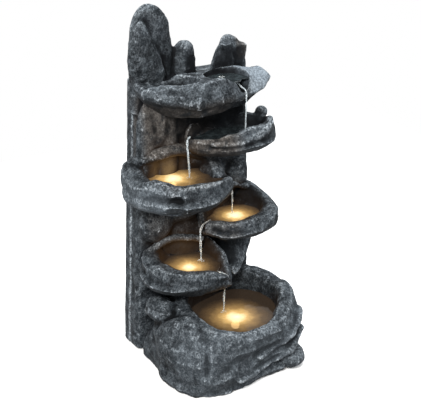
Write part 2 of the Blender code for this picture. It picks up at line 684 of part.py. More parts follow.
def curve_tube(name, points, radius, spacing):
    """Round lead through hand-set points, smoothed, with closed ends."""
    control = [Vector(p) for p in points]
    fine = []
    for k in range(len(control) - 1):
        a = control[max(0, k - 1)]
        b, c = control[k], control[k + 1]
        d = control[min(len(control) - 1, k + 2)]
        steps = max(2, round((c - b).length / spacing))
        for step in range(steps):
            t = step / steps
            fine.append(b + 0.5 * t * (c - a + t * (2 * a - 5 * b + 4 * c - d + t * (3 * (b - c) + d - a))))
    fine.append(control[-1])
    data = bpy.data.curves.new(name, "CURVE")
    data.dimensions = "3D"
    data.bevel_depth = radius
    data.bevel_resolution = 2
    data.use_fill_caps = True
    line = data.splines.new("POLY")
    line.points.add(len(fine) - 1)
    for place, point in zip(line.points, fine):
        place.co = (*point, 1.0)
    body = bpy.data.objects.new(name, data)
    bpy.context.scene.collection.objects.link(body)
    return body


def build_plumbing():
    top_low, top_high = (Vector(p) for p in RISER_TOP)
    outlet = Vector((0.010, PUMP_AXIS[0], PUMP_Z[1] + 0.012))
    route = [outlet + Vector((0, 0, GAP)), outlet + Vector((0.0, 0.0, 0.03)), (0.014, 0.143, 0.150),
             (0.020, 0.148, 0.230), (0.028, 0.152, 0.340), (0.036, 0.152, 0.450), (0.046, 0.152, 0.560),
             (0.056, 0.153, 0.640), top_low, (top_low + top_high) / 2, top_high]
    riser = curve_tube("riser_tube", route, RISER_R, 0.035)
    finish(riser, (0.55, 0.57, 0.56), 0.35)
    way = (top_high - top_low).normalized()
    profile = ((GAP, 0.0074), (0.006, 0.0074), (0.0065, 0.0095), (0.009, 0.0095), (0.009, 0.0060),
               (0.003, 0.0050))
    plastic(turned("top_outlet", profile, top_high, way, 16))
    inner, outer, half = RISER_R + 0.0010, RISER_R + 0.0026, 0.004
    section = ((-half, inner), (half, inner), (half, outer), (-half, outer))
    for label, x, z in (("lower", 0.0275, 0.330), ("upper", 0.0472, 0.570)):
        y = 0.1521
        clamp = tube_ring("tube_clamp_" + label, section, (x, y, z), (0.09, 0, 1), 16)
        foot_end = (x + 0.005, y - inner - 0.0008, z + half)
        join(clamp, box("foot", (x - 0.005, CAVITY_Y[0] + GAP, z - half), foot_end))
        plastic(clamp)


def build_lights():
    """Each pod is a metal cup on a gasket, with a clear lens in its mouth."""
    up, ring_r, inner_r = (0, 0, 1), POD_R - 0.001, POD_R - POD_WALL
    gasket = ((0, 0.005), (0, ring_r), (GASKET_HEIGHT, ring_r), (GASKET_HEIGHT, 0.005))
    cup = ((0.0, POD_R), (POD_HEIGHT, POD_R), (POD_HEIGHT, inner_r), (0.0022, inner_r), (0.0022, 0.001))
    lens_r = inner_r - GAP
    dome = ((0.0, lens_r), (LENS_HEIGHT - 0.001, lens_r), (LENS_HEIGHT, lens_r * 0.8),
            (LENS_HEIGHT + 0.0008, lens_r * 0.4))
    for label in LIGHTS:
        place = pod_place(label)
        washer = tube_ring("led_gasket_" + label, gasket, place, up, 16)
        finish(washer, (0.03, 0.03, 0.03), 0.8, smooth_angle=35)
        low = place + Vector((0, 0, GASKET_HEIGHT + GAP))
        housing = turned("led_housing_" + label, cup, low, up, 16)
        finish(housing, (0.62, 0.63, 0.64), 0.3, 0.9, smooth_angle=35)
        seat = low + Vector((0, 0, POD_HEIGHT - LENS_HEIGHT + 0.0006))
        finish(turned("led_lens_" + label, dome, seat, up, 16), (1.0, 0.78, 0.40), 0.15, smooth_angle=35)


def build_leads():
    """Leads from the pods through the castings and the cavity to the junction box."""
    low, high = JUNCTION
    entry = {"left": (low[0] + 0.010, 0.1445, high[2]), "right": (low[0] + 0.030, 0.1445, high[2]),
             "lower_left": (low[0] + 0.012, 0.1445, low[2]), "basin": (low[0] + 0.034, 0.1445, low[2])}
    bends = {
        "left": ((-0.106, 0.142, 0.462), (-0.104, 0.146, 0.425), (-0.050, 0.144, 0.400),
                 (0.030, 0.134, 0.372), (0.086, 0.136, 0.350), (0.1055, 0.143, 0.325)),
        "right": ((0.114, 0.141, 0.345), (0.124, 0.146, 0.325)),
        "lower_left": ((-0.090, 0.142, 0.218), (-0.088, 0.150, 0.205), (-0.030, 0.164, 0.212),
                       (0.050, 0.164, 0.225), (0.095, 0.156, 0.232), (0.1078, 0.147, 0.245)),
        "basin": ((0.121, 0.138, 0.050), (0.128, 0.145, 0.060), (0.131, 0.146, 0.120),
                  (0.130, 0.145, 0.200), (0.130, 0.1445, 0.240)),
    }
    for label in LIGHTS:
        start, turn, end = lead_line(label)
        way = (end - turn).normalized()
        points = [start - Vector((0, 0, GAP * 2)), turn + Vector((0, 0, 0.007)), turn + way * 0.005]
        points += [turn + (end - turn) * 0.4, turn + (end - turn) * 0.7, end - way * 0.004, *bends[label]]
        finish_end = Vector(entry[label])
        toward = 1 if finish_end.z > low[2] + 0.01 else -1
        points += [finish_end + Vector((0, 0, toward * 0.008)), finish_end + Vector((0, 0, toward * GAP))]
        lead = curve_tube("led_lead_" + label, points, LEAD_R, 0.045)
        finish(lead, (0.02, 0.02, 0.02), 0.6)


def build_electrics():
    low, high = JUNCTION
    case = box("junction_box", low, (high[0], high[1] - 0.004, high[2]), 0.0015)
    wall = 0.003
    cut(case, box("space", tuple(edge + wall for edge in low), (high[0] - wall, 0.2, high[2] - wall)))
    plastic(case)
    lid = box("junction_lid", (low[0], high[1] - 0.004 + GAP, low[2]), high, 0.001)
    plastic(lid, 0.03)
    profile = ((0.0, 0.0060), (0.012, 0.0060), (0.012, 0.0090), (0.0155, 0.0090), (0.0205, 0.0062),
               (0.0205, 0.0036), (0.004, 0.0036))
    plastic(turned("cable_gland", profile, (GLAND[0], 0.1945, GLAND[1]), (0, 1, 0), 16))


# ---------------------------------------------------------------- pump

def build_pump():
    y, z = PUMP_AXIS
    left, right = PUMP_X
    body = box("pump_housing", (left, PUMP_Y[0], PUMP_Z[0]), (right, PUMP_Y[1], PUMP_Z[1]), 0.003)
    join(body, rod("outlet", (0.010, y, PUMP_Z[1] - 0.004), (0.010, y, PUMP_Z[1] + 0.012), 0.0072, 20))
    cut(body, rod("chamber", (left - 0.01, y, z), (left + 0.012, y, z), 0.0135, 24))
    cut(body, rod("rotor_well", (left, y, z), (left + 0.036, y, z), 0.0078, 24))
    cut(body, rod("outlet_bore", (left + 0.007, y, z), (0.010, y, PUMP_Z[1] + 0.03), 0.0038, 16))
    plastic(body)
    plate = ((0.0, 0.0060), (0.0, 0.0165), (0.003, 0.0165), (0.003, 0.0060))
    plastic(tube_ring("pump_volute_cap", plate, (left - GAP, y, z), (-1, 0, 0), 24), 0.03)
    shaft = rod("impeller_shaft", (left + 0.0366 - 0.001, y, z), (left - 0.0020, y, z), 0.0010, 12)
    finish(shaft, (0.85, 0.85, 0.82), 0.3, smooth_angle=35)
    build_impeller(left, y, z)
    build_intake(left, y, z)
    build_dial()
    corners = [(x, side) for side in (-1, 1) for x in (left + 0.009, right - 0.009)]
    cup = ((0.0, 0.0070), (0.0016, 0.0062), (0.003, 0.0034), (0.0053, 0.0034))
    for i, (x, side) in enumerate(corners, 1):
        foot = turned("suction_foot_%d" % i, cup, (x, y + side * 0.011, SUMP_IN[0][2] + GAP), (0, 0, 1), 12)
        finish(foot, (0.04, 0.04, 0.04), 0.85, smooth_angle=35)


def build_impeller(left, y, z):
    sleeve = ((0.003, 0.0014), (0.003, 0.0070), (0.0345, 0.0070), (0.0345, 0.0014))
    rotor = tube_ring("impeller", sleeve, (left, y, z), (1, 0, 0), 20)
    for k in range(4):
        blade = box("blade", (left + 0.0008, -0.0012, 0.0018), (left + 0.0070, 0.0012, 0.0120))
        blade.data.transform(Matrix.Translation((0, y, z)) @ Matrix.Rotation(math.pi / 2 * k + 0.3, 4, "X"))
        join(rotor, blade)
    cut(rotor, rod("bore", (left - 0.01, y, z), (left + 0.05, y, z), 0.0014, 20))
    finish(rotor, (0.75, 0.76, 0.78), 0.4, smooth_angle=35)
    set_origin(rotor, (left, y, z))


def build_intake(left, y, z):
    """Strainer cap over the pump's inlet, which pulls off sideways for cleaning."""
    (y_low, y_high), (z_low, z_high), wall = PUMP_Y, PUMP_Z, 0.002
    outer = box("intake_cover", (left - 0.016, y_low, z_low), (left - GAP, y_high, z_high), 0.003)
    inner_low = (left - 0.0135, y_low + wall, z_low + wall)
    cut(outer, box("space", inner_low, (left + 0.01, y_high - wall, z_high - wall)))
    for k in range(6):
        at = z_low + 0.0065 + 0.0054 * k
        cut(outer, box("slot", (left - 0.03, y_low + 0.006, at), (left - 0.010, y_high - 0.006, at + 0.0022)))
    plastic(outer, 0.025)
    set_origin(outer, (left, y, z))


def build_dial():
    """Flow dial on the motor body's back, turned by a finger tab."""
    x, y, z = place = (0.012, PUMP_Y[1] + GAP, PUMP_AXIS[1])
    dial = turned("flow_dial", ((0.0, 0.0075), (0.0030, 0.0075), (0.0036, 0.0068)), place, (0, 1, 0), 24)
    join(dial, box("tab", (x - 0.0011, y + 0.002, z - 0.0060), (x + 0.0011, y + 0.0072, z + 0.0060)))
    finish(dial, (0.10, 0.30, 0.55), 0.4, smooth_angle=35)
    set_origin(dial, place)


# ---------------------------------------------------------------- door, drain and pads

def build_door():
    top = 0.0005
    low, high = DOOR_Z
    inner = (-DOOR_X + top, BACK_Y - DOOR_THICK, low + top)
    door = box("access_door", inner, (DOOR_X - top, BACK_Y, high - top))
    join(door, box("strap", (HINGE_X, BACK_Y - 0.001, 0.1310), (HINGE_X + 0.030, BACK_Y + 0.0026, 0.1690)))
    cut(door, box("strap_end", (HINGE_X - 0.01, BACK_Y - 0.02, 0.10), (-DOOR_X + top, BACK_Y + 0.0005, 0.20)))
    join(door, rod("barrel", (HINGE_X, HINGE_Y, 0.1310), (HINGE_X, HINGE_Y, 0.1690), BARREL_R, 20))
    cut(door, rod("bore", (HINGE_X, HINGE_Y, 0.12), (HINGE_X, HINGE_Y, 0.18), BORE_R, 16))
    rock(door)
    set_origin(door, (HINGE_X, HINGE_Y, 0.150))
    for name, z in (("hinge_bracket_lower", (0.1140, 0.1304)), ("hinge_bracket_upper", (0.1696, 0.1860))):
        leaf = box(name, (HINGE_X - 0.020, BACK_Y + GAP, z[0]), (HINGE_X, BACK_Y + 0.0029, z[1]))
        join(leaf, rod("barrel", (HINGE_X, HINGE_Y, z[0]), (HINGE_X, HINGE_Y, z[1]), BARREL_R, 20))
        cut(leaf, rod("bore", (HINGE_X, HINGE_Y, 0.10), (HINGE_X, HINGE_Y, 0.20), BORE_R, 16))
        finish(leaf, (0.55, 0.56, 0.57), 0.35, 0.9, smooth_angle=35)
    shank = ((0.0, 0.0030), (0.0012, 0.0030), (0.0012, PIN_R), (0.0750, PIN_R))
    pin = turned("hinge_pin", shank, (HINGE_X, HINGE_Y, 0.1875), (0, 0, -1), 16)
    finish(pin, (0.62, 0.63, 0.64), 0.3, 0.95, smooth_angle=35)
    grip = ((GAP, 0.0060), (0.004, 0.0052), (0.006, 0.0085), (0.009, 0.0090), (0.0105, 0.0075))
    plastic(turned("door_knob", grip, (0.062, BACK_Y, 0.150), (0, 1, 0), 16))


def build_drain():
    """Rubber bung in the sump's back wall, reached through a hole in the back panel."""
    x, z = DRAIN
    wall = SUMP_OUT[1][1]
    profile = ((-0.0075, DRAIN_R - 0.0006), (0.0, DRAIN_R), (GAP, DRAIN_R), (GAP, 0.0100), (0.004, 0.0100),
               (0.006, 0.0065), (0.022, 0.0060), (0.0225, 0.0095), (0.0295, 0.0095), (0.0305, 0.0085))
    plug = turned("drain_plug", profile, (x, wall, z), (0, 1, 0), 20)
    finish(plug, (0.03, 0.03, 0.03), 0.8, smooth_angle=35)
    set_origin(plug, (x, wall, z))


def build_pads():
    for label, x, y in PADS:
        disc = ((0.0, PAD_R - 0.001), (0.0006, PAD_R), (PAD_HEIGHT, PAD_R))
        pad = turned("foot_pad_" + label, disc, (x, y, 0.0), (0, 0, 1), 16)
        finish(pad, (0.03, 0.03, 0.03), 0.85, smooth_angle=35)


def main():
    clear_scene()
    build_wall()
    build_back()
    build_head()
    build_bowls()
    rock(build_rock_fin())
    build_basin()
    build_foot_boulder()
    build_plumbing()
    build_lights()
    build_leads()
    build_electrics()
    build_pump()
    build_door()
    build_drain()
    build_pads()


main()
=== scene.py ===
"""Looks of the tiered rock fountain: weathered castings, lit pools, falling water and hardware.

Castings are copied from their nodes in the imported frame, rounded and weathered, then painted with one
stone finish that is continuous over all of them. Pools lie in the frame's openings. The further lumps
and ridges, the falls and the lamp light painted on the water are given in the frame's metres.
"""

import json
import math
import random

import bmesh
import bpy
import numpy as np
from mathutils import Euler, Matrix, Vector
from mathutils.bvhtree import BVHTree


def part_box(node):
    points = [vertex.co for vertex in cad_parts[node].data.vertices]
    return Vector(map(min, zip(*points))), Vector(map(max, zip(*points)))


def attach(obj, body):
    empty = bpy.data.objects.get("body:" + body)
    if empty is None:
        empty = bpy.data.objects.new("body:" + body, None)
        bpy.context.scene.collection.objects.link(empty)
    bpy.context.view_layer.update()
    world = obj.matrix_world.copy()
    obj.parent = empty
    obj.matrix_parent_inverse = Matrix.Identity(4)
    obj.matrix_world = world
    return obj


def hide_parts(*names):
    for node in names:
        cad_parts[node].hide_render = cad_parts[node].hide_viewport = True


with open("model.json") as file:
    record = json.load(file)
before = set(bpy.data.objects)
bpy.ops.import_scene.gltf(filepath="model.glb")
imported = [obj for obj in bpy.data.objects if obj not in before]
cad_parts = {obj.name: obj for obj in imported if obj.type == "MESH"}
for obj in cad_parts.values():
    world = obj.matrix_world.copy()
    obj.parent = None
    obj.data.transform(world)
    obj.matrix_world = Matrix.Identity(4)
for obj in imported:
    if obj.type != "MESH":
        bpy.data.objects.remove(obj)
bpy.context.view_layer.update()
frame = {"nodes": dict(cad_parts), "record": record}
NODES = frame["nodes"]
OPENINGS = {gap["name"]: [Vector(corner) for corner in gap["box_m"]]
            for gap in frame["record"]["physics"]["openings"]}
ROOT = "fountain"
MM = 0.001


# ---------------------------------------------------------------- node graphs

class Value:
    """A socket that takes part in arithmetic: each operator adds its Math node."""

    def __init__(self, graph, socket):
        self.graph = graph
        self.socket = socket

    def math(self, operation, first, second=0.0):
        return self.graph.node("ShaderNodeMath", {"operation": operation}, {0: first, 1: second})

    def __add__(self, other):
        return self.math("ADD", self, other)

    def __sub__(self, other):
        return self.math("SUBTRACT", self, other)

    def __mul__(self, other):
        return self.math("MULTIPLY", self, other)

    def __truediv__(self, other):
        return self.math("DIVIDE", self, other)

    def __rsub__(self, other):
        return self.math("SUBTRACT", other, self)

    __radd__ = __add__
    __rmul__ = __mul__

    def clamped(self):
        return self.graph.node("ShaderNodeClamp", {}, {0: self})

    def step(self, low, high):
        """0 below low, 1 above high, and a smooth rise between."""
        settings = {"interpolation_type": "SMOOTHSTEP"}
        return self.graph.node("ShaderNodeMapRange", settings, {0: self, 1: low, 2: high})


class Graph:
    """Makes and links the nodes of one tree."""

    def __init__(self, tree):
        self.tree = tree

    def node(self, kind, settings=None, values=None, out=0):
        made = self.tree.nodes.new(kind)
        for name, setting in (settings or {}).items():
            if name == "stops":
                self.set_stops(made.color_ramp, setting)
            else:
                setattr(made, name, setting)
        for key, value in (values or {}).items():
            self.feed(made.inputs[key], value)
        return Value(self, made.outputs[out])

    def feed(self, socket, value):
        if isinstance(value, Value):
            self.tree.links.new(value.socket, socket)
        else:
            socket.default_value = value

    @staticmethod
    def set_stops(ramp, stops):
        while len(ramp.elements) > 1:
            ramp.elements.remove(ramp.elements[-1])
        for k, (place, colour) in enumerate(stops):
            element = ramp.elements[0] if k == 0 else ramp.elements.new(place)
            element.position = place
            element.color = (*colour, 1.0)

    def noise(self, vector, scale, detail=4.0, rough=0.55, **settings):
        values = {"Vector": vector, "Scale": scale, "Detail": detail, "Roughness": rough}
        return self.node("ShaderNodeTexNoise", settings, values)

    def mix(self, factor, first, second):
        """Mix two colours."""
        settings = {"data_type": "RGBA", "blend_type": "MIX", "clamp_factor": True}
        return self.node("ShaderNodeMix", settings, {0: factor, 6: first, 7: second}, out=2)

    def stretch(self, vector, x, y, z):
        return self.node("ShaderNodeVectorMath", {"operation": "MULTIPLY"}, {0: vector, 1: (x, y, z)})


def colour(red, green, blue):
    return (red, green, blue, 1.0)


class Finish:
    """A material with a Principled shader that reads Object coordinates."""

    def __init__(self, name, **constants):
        self.material = bpy.data.materials.new(name)
        self.material.use_nodes = True
        tree = self.material.node_tree
        self.graph = Graph(tree)
        self.shader = tree.nodes["Principled BSDF"]
        self.place = self.graph.node("ShaderNodeTexCoord", {}, {}, out="Object")
        for name_of_socket, value in constants.items():
            self.shader.inputs[name_of_socket.replace("_", " ")].default_value = value

    def set(self, socket, value):
        self.graph.feed(self.shader.inputs[socket], value)

    def bump(self, height, distance, strength=1.0, normal=None):
        values = {"Height": height, "Distance": distance, "Strength": strength}
        if normal is not None:
            values["Normal"] = normal
        made = self.graph.node("ShaderNodeBump", {}, values)
        self.set("Normal", made)
        return made

    def attribute(self, name):
        return self.graph.node("ShaderNodeAttribute", {"attribute_name": name}, {}, out="Fac")


# ---------------------------------------------------------------- finishes

BLACK = colour(0.0, 0.0, 0.0)
# The stone from its darkest parts to its lightest, among them painted shade for hollows and undersides and painted
# warm lamp light in the browns, then the lamp light painted on it.
STONE = {
    "hollow": colour(0.0014, 0.0015, 0.0018), "underside": colour(0.0030, 0.0034, 0.0040),
    "deep": colour(0.0034, 0.0043, 0.0053), "wet": colour(0.008, 0.008, 0.008),
    "body": colour(0.0090, 0.0112, 0.0135), "patch": colour(0.0170, 0.0210, 0.0250),
    "painted_warmth_brown": colour(0.0270, 0.0205, 0.0155), "brushed": colour(0.138, 0.156, 0.172),
    "brushed_painted_warmth_brown": colour(0.140, 0.118, 0.098), "pale": colour(0.190, 0.225, 0.260),
    "crest": colour(0.270, 0.295, 0.315), "lamp_far": colour(0.30, 0.145, 0.050),
    "lamp_near": colour(0.95, 0.60, 0.24),
}
# Painted lamp light in the water, from the light pod outwards.
PAINTED_LIT_WATER = ((0.0, (1.0, 0.96, 0.78)), (0.16, (1.0, 0.88, 0.52)), (0.29, (0.66, 0.43, 0.16)),
             (0.46, (0.25, 0.155, 0.060)), (0.70, (0.075, 0.046, 0.023)), (1.0, (0.020, 0.014, 0.010)))
WATER_INDEX, PLASTIC_INDEX = 1.33, 1.5


def web(g, place, scale, sharp):
    """Thin wandering lines, 1 on the line: where a noise passes through its middle value."""
    swell = g.noise(place, scale, 5.0, 0.6) - 0.5
    return (1.0 - g.node("ShaderNodeMath", {"operation": "ABSOLUTE"}, {0: swell}) * sharp).clamped()


def stone_finish():
    """Charcoal cast stone: painted shade in its hollows and underneath, dry-brushed pale on its ridges, wet near
    the pools with the pods' light painted on.
    """
    paint = Finish("cast_stone", Specular_IOR_Level=0.05)
    g, place = paint.graph, paint.place
    ridge, broad = paint.attribute("ridge"), paint.attribute("broad")
    wet, painted_lamp_glow, shade = paint.attribute("wet"), paint.attribute("painted_lamp_glow"), paint.attribute("shade")
    pale, painted_warmth_and_brown, up = paint.attribute("pale"), paint.attribute("painted_warmth_and_brown"), paint.attribute("up")
    cloud = g.noise(place, 9.0, 5.0)
    patch = g.noise(place, 38.0, 6.0, 0.62)
    grain = g.noise(place, 230.0, 6.0, 0.72)
    brush = g.noise(g.stretch(place, 1.0, 1.0, 0.5), 190.0, 6.0, 0.75)
    crackle = web(g, place, 80.0, 20.0) * 0.7 + web(g, place, 165.0, 13.0) * 0.6
    base = g.mix(cloud.step(0.35, 0.65), STONE["deep"], STONE["body"])
    base = g.mix(patch.step(0.45, 0.72), base, STONE["patch"])
    # Brown: painted warm lamp light above the lit pools, and a brown tone on the right crag.
    base = g.mix(painted_warmth_and_brown * patch.step(0.30, 0.62) * 0.6, base, STONE["painted_warmth_brown"])
    # Painted shade: the shade guide and the broad hollows darken the stone towards its darkest colour.
    hollow = (shade * 0.8 + (broad * -1.0).step(0.05, 0.9)).clamped()
    base = g.mix(hollow * 0.8, base, STONE["hollow"])
    relief = ridge * 0.60 + broad * 0.50 + (brush - 0.5) * 1.0 + (patch - 0.5) * 0.6
    # The up guide adds painted light to the dry brushing: faces turned up and to the left come out paler.
    worn = (relief + pale * 1.1 + (up - 0.4) * 0.75).step(0.34, 1.50)
    speck = (grain * 0.7 + brush * 0.5).step(0.54, 0.74)
    lines = crackle * (brush + patch).step(0.75, 1.15) * (1.0 - hollow)
    brushed = (worn * (0.05 + speck * 0.88) + lines * (0.36 + pale * 0.3)).clamped()
    brushed = brushed * (1.0 - shade * 0.75) * (1.0 - wet * 0.6)
    base = g.mix(brushed, base, g.mix(painted_warmth_and_brown * 0.7, STONE["brushed"], STONE["brushed_painted_warmth_brown"]))
    # Painted shade: faces turned down and to the right take a darker colour.
    base = g.mix((1.0 - up).step(0.35, 1.0) * 0.65, base, STONE["underside"])
    # The pale guide paints the petal as a highlight; the left flank and the low front come out paler in tone.
    base = g.mix(pale * (0.25 + speck * 0.35), base, STONE["pale"])
    crest = (ridge * 0.80 + broad * 0.22 + (brush - 0.5) * 2.4).step(0.70, 1.40) * (0.15 + speck * 0.85)
    base = g.mix(crest * (1.0 - shade * 0.6) * 0.60, base, STONE["crest"])
    paint.set("Base Color", g.mix(wet * 0.45, base, STONE["wet"]))
    paint.set("Roughness", (0.74 + (grain - 0.5) * 0.25 - wet * 0.5).clamped())
    # Painted lamp light: the rock glows warm where the pods' light falls on it.
    lit = painted_lamp_glow * (0.30 + grain * 0.8)
    lamp = g.mix(painted_lamp_glow.step(0.1, 1.0), STONE["lamp_far"], STONE["lamp_near"])
    paint.set("Emission Color", g.mix(lit.clamped(), BLACK, lamp))
    paint.shader.inputs["Emission Strength"].default_value = 0.60
    coarse = paint.bump(patch, 1.6 * MM, 0.8)
    middle = paint.bump(brush, 0.7 * MM, 0.8, coarse)
    paint.bump(grain, 0.35 * MM, 0.9, middle)
    return paint.material


def water_finish(name, lamp, radius, level_colour):
    """Pool water over a light pod, with the pod's light painted in: white at the pod, then yellow, gold and brown
    towards the rock, over a base colour that is browner near the pod.
    """
    paint = Finish(name, IOR=WATER_INDEX, Roughness=0.06, Specular_IOR_Level=0.3)
    g = paint.graph
    offset = g.node("ShaderNodeVectorMath", {"operation": "SUBTRACT"}, {0: paint.place, 1: tuple(lamp)})
    ripple = g.noise(paint.place, 55.0, 3.0)
    swirl = g.noise(paint.place, 24.0, 2.0)
    far = g.node("ShaderNodeVectorMath", {"operation": "LENGTH"}, {0: offset}, out="Value")
    share = far / radius + (ripple - 0.5) * 0.20 + (swirl - 0.5) * 0.16
    painted_shine = g.node("ShaderNodeValToRGB", {"stops": PAINTED_LIT_WATER}, {0: share})
    paint.set("Base Color", g.mix(share.step(0.2, 1.0), colour(0.09, 0.055, 0.02), level_colour))
    paint.set("Emission Color", painted_shine)
    paint.shader.inputs["Emission Strength"].default_value = 1.05
    paint.bump(ripple, 0.8 * MM, 0.5)
    return paint.material


def dark_water_finish():
    """Water in the bowls that have no light pod."""
    paint = Finish("dark_water", IOR=WATER_INDEX, Roughness=0.05)
    g = paint.graph
    ripple = g.noise(paint.place, 70.0, 3.0)
    still, broken = colour(0.008, 0.010, 0.011), colour(0.020, 0.026, 0.028)
    paint.set("Base Color", g.mix(ripple.step(0.4, 0.7), still, broken))
    paint.bump(ripple, 1.2 * MM, 0.7)
    return paint.material


def stream_finish(name, painted_glow_tint, strength):
    """Falling water: clear threads with white, broken edges, whose white parts give off painted light in the given
    colour.
    """
    paint = Finish(name, IOR=WATER_INDEX, Roughness=0.08)
    g = paint.graph
    thread = g.noise(g.stretch(paint.place, 1.0, 1.0, 0.12), 420.0, 4.0, 0.6)
    froth = g.noise(paint.place, 260.0, 4.0, 0.6)
    white = (thread * 0.6 + froth * 0.5).step(0.50, 0.78)
    paint.set("Base Color", g.mix(white, colour(0.30, 0.34, 0.36), colour(0.86, 0.90, 0.92)))
    paint.set("Alpha", 0.26 + white * 0.48)
    paint.set("Emission Color", g.mix(white, BLACK, painted_glow_tint))
    paint.shader.inputs["Emission Strength"].default_value = strength
    paint.bump(thread, 0.8 * MM, 0.7)
    return paint.material


def moulded_finish(name, tone, rough=0.46, grain_size=900.0, clear=0.0):
    """Moulded plastic or rubber: fine spark-eroded grain, with faint flow marks and dust."""
    paint = Finish(name, Coat_Weight=clear)
    g = paint.graph
    grain = g.noise(paint.place, grain_size, 3.0, 0.6)
    flow = g.noise(g.stretch(paint.place, 1.0, 1.0, 3.0), 45.0, 3.0)
    lighter = tuple(min(1.0, part * 1.5 + 0.02) for part in tone)
    paint.set("Base Color", g.mix(flow.step(0.35, 0.75) * 0.45, colour(*tone), colour(*lighter)))
    paint.set("Roughness", (rough + (flow - 0.5) * 0.22 + (grain - 0.5) * 0.10).clamped())
    paint.bump(grain, 0.05 * MM, 0.5)
    return paint.material


def metal_finish(name, tone, rough, along=(1.0, 1.0, 0.05)):
    """Brushed or turned metal with fine scratches along one direction."""
    paint = Finish(name, Metallic=1.0)
    g = paint.graph
    scratch = g.noise(g.stretch(paint.place, *along), 2600.0, 3.0, 0.6)
    smear = g.noise(paint.place, 60.0, 3.0)
    darker = tuple(part * 0.72 for part in tone)
    paint.set("Base Color", g.mix(smear.step(0.35, 0.7) * 0.5, colour(*tone), colour(*darker)))
    paint.set("Roughness", (rough + (scratch - 0.5) * 0.28 + (smear - 0.5) * 0.2).clamped())
    paint.bump(scratch, 0.03 * MM, 0.6)
    return paint.material


def tube_finish():
    """Clear vinyl tube with water in it."""
    paint = Finish("vinyl_tube", IOR=PLASTIC_INDEX, Coat_Weight=0.6)
    g = paint.graph
    haze = g.noise(paint.place, 120.0, 3.0)
    paint.set("Base Color", g.mix(haze.step(0.3, 0.7), colour(0.42, 0.46, 0.46), colour(0.62, 0.66, 0.65)))
    paint.set("Roughness", (0.22 + (haze - 0.5) * 0.2).clamped())
    paint.set("Alpha", 0.72 + haze * 0.2)
    return paint.material


def lens_finish():
    """Clear lens with the warm lamp behind it."""
    paint = Finish("pod_lens", IOR=PLASTIC_INDEX, Roughness=0.1)
    g = paint.graph
    spark = g.noise(paint.place, 500.0, 2.0)
    paint.set("Base Color", g.mix(spark, colour(1.0, 0.86, 0.55), colour(1.0, 0.94, 0.78)))
    paint.set("Emission Color", g.mix(spark, colour(1.0, 0.78, 0.40), colour(1.0, 0.92, 0.70)))
    paint.shader.inputs["Emission Strength"].default_value = 3.0
    return paint.material


# ---------------------------------------------------------------- mesh helpers

def smooth_step(low, high, value):
    share = np.clip((value - low) / (high - low), 0.0, 1.0)
    return share * share * (3 - 2 * share)


def mesh_from(bm, name):
    """A mesh with the content of bm, which is freed."""
    mesh = bpy.data.meshes.new(name)
    bm.to_mesh(mesh)
    bm.free()
    return mesh


def new_piece(name, mesh):
    piece = bpy.data.objects.new(name, mesh)
    bpy.context.scene.collection.objects.link(piece)
    return piece


def dress(piece, material, body, slot, *replaced):
    """Give a finished piece its material and body; its slot is not used."""
    piece.data.materials.clear()
    piece.data.materials.append(material)
    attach(piece, body)
    if replaced:
        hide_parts(*replaced)
    return piece


def node_tree_of(mesh_object):
    mesh = mesh_object.data
    return BVHTree.FromPolygons([v.co for v in mesh.vertices], [tuple(p.vertices) for p in mesh.polygons])


def points_of(mesh):
    found = np.zeros(len(mesh.vertices) * 3, np.float32)
    mesh.vertices.foreach_get("co", found)
    return found.reshape(-1, 3)


def normals_of(mesh):
    found = np.zeros(len(mesh.vertices) * 3, np.float32)
    mesh.vertex_normals.foreach_get("vector", found)
    return found.reshape(-1, 3)


def store(mesh, name, values):
    layer = mesh.attributes.new(name, "FLOAT", "POINT")
    layer.data.foreach_set("value", np.ascontiguousarray(values, dtype=np.float32))


def rounded(points, edges, rounds):
    """Points after rounds of averaging with their neighbours."""
    count = len(points)
    ends = np.concatenate((edges[:, 0], edges[:, 1]))
    others = np.concatenate((edges[:, 1], edges[:, 0]))
    share = np.maximum(np.bincount(ends, minlength=count), 1)
    current = points.astype(np.float64)
    for _ in range(rounds):
        total = np.stack([np.bincount(ends, current[others, k], count) for k in range(3)], axis=1)
        current = 0.4 * current + 0.6 * total / share[:, None]
    return current


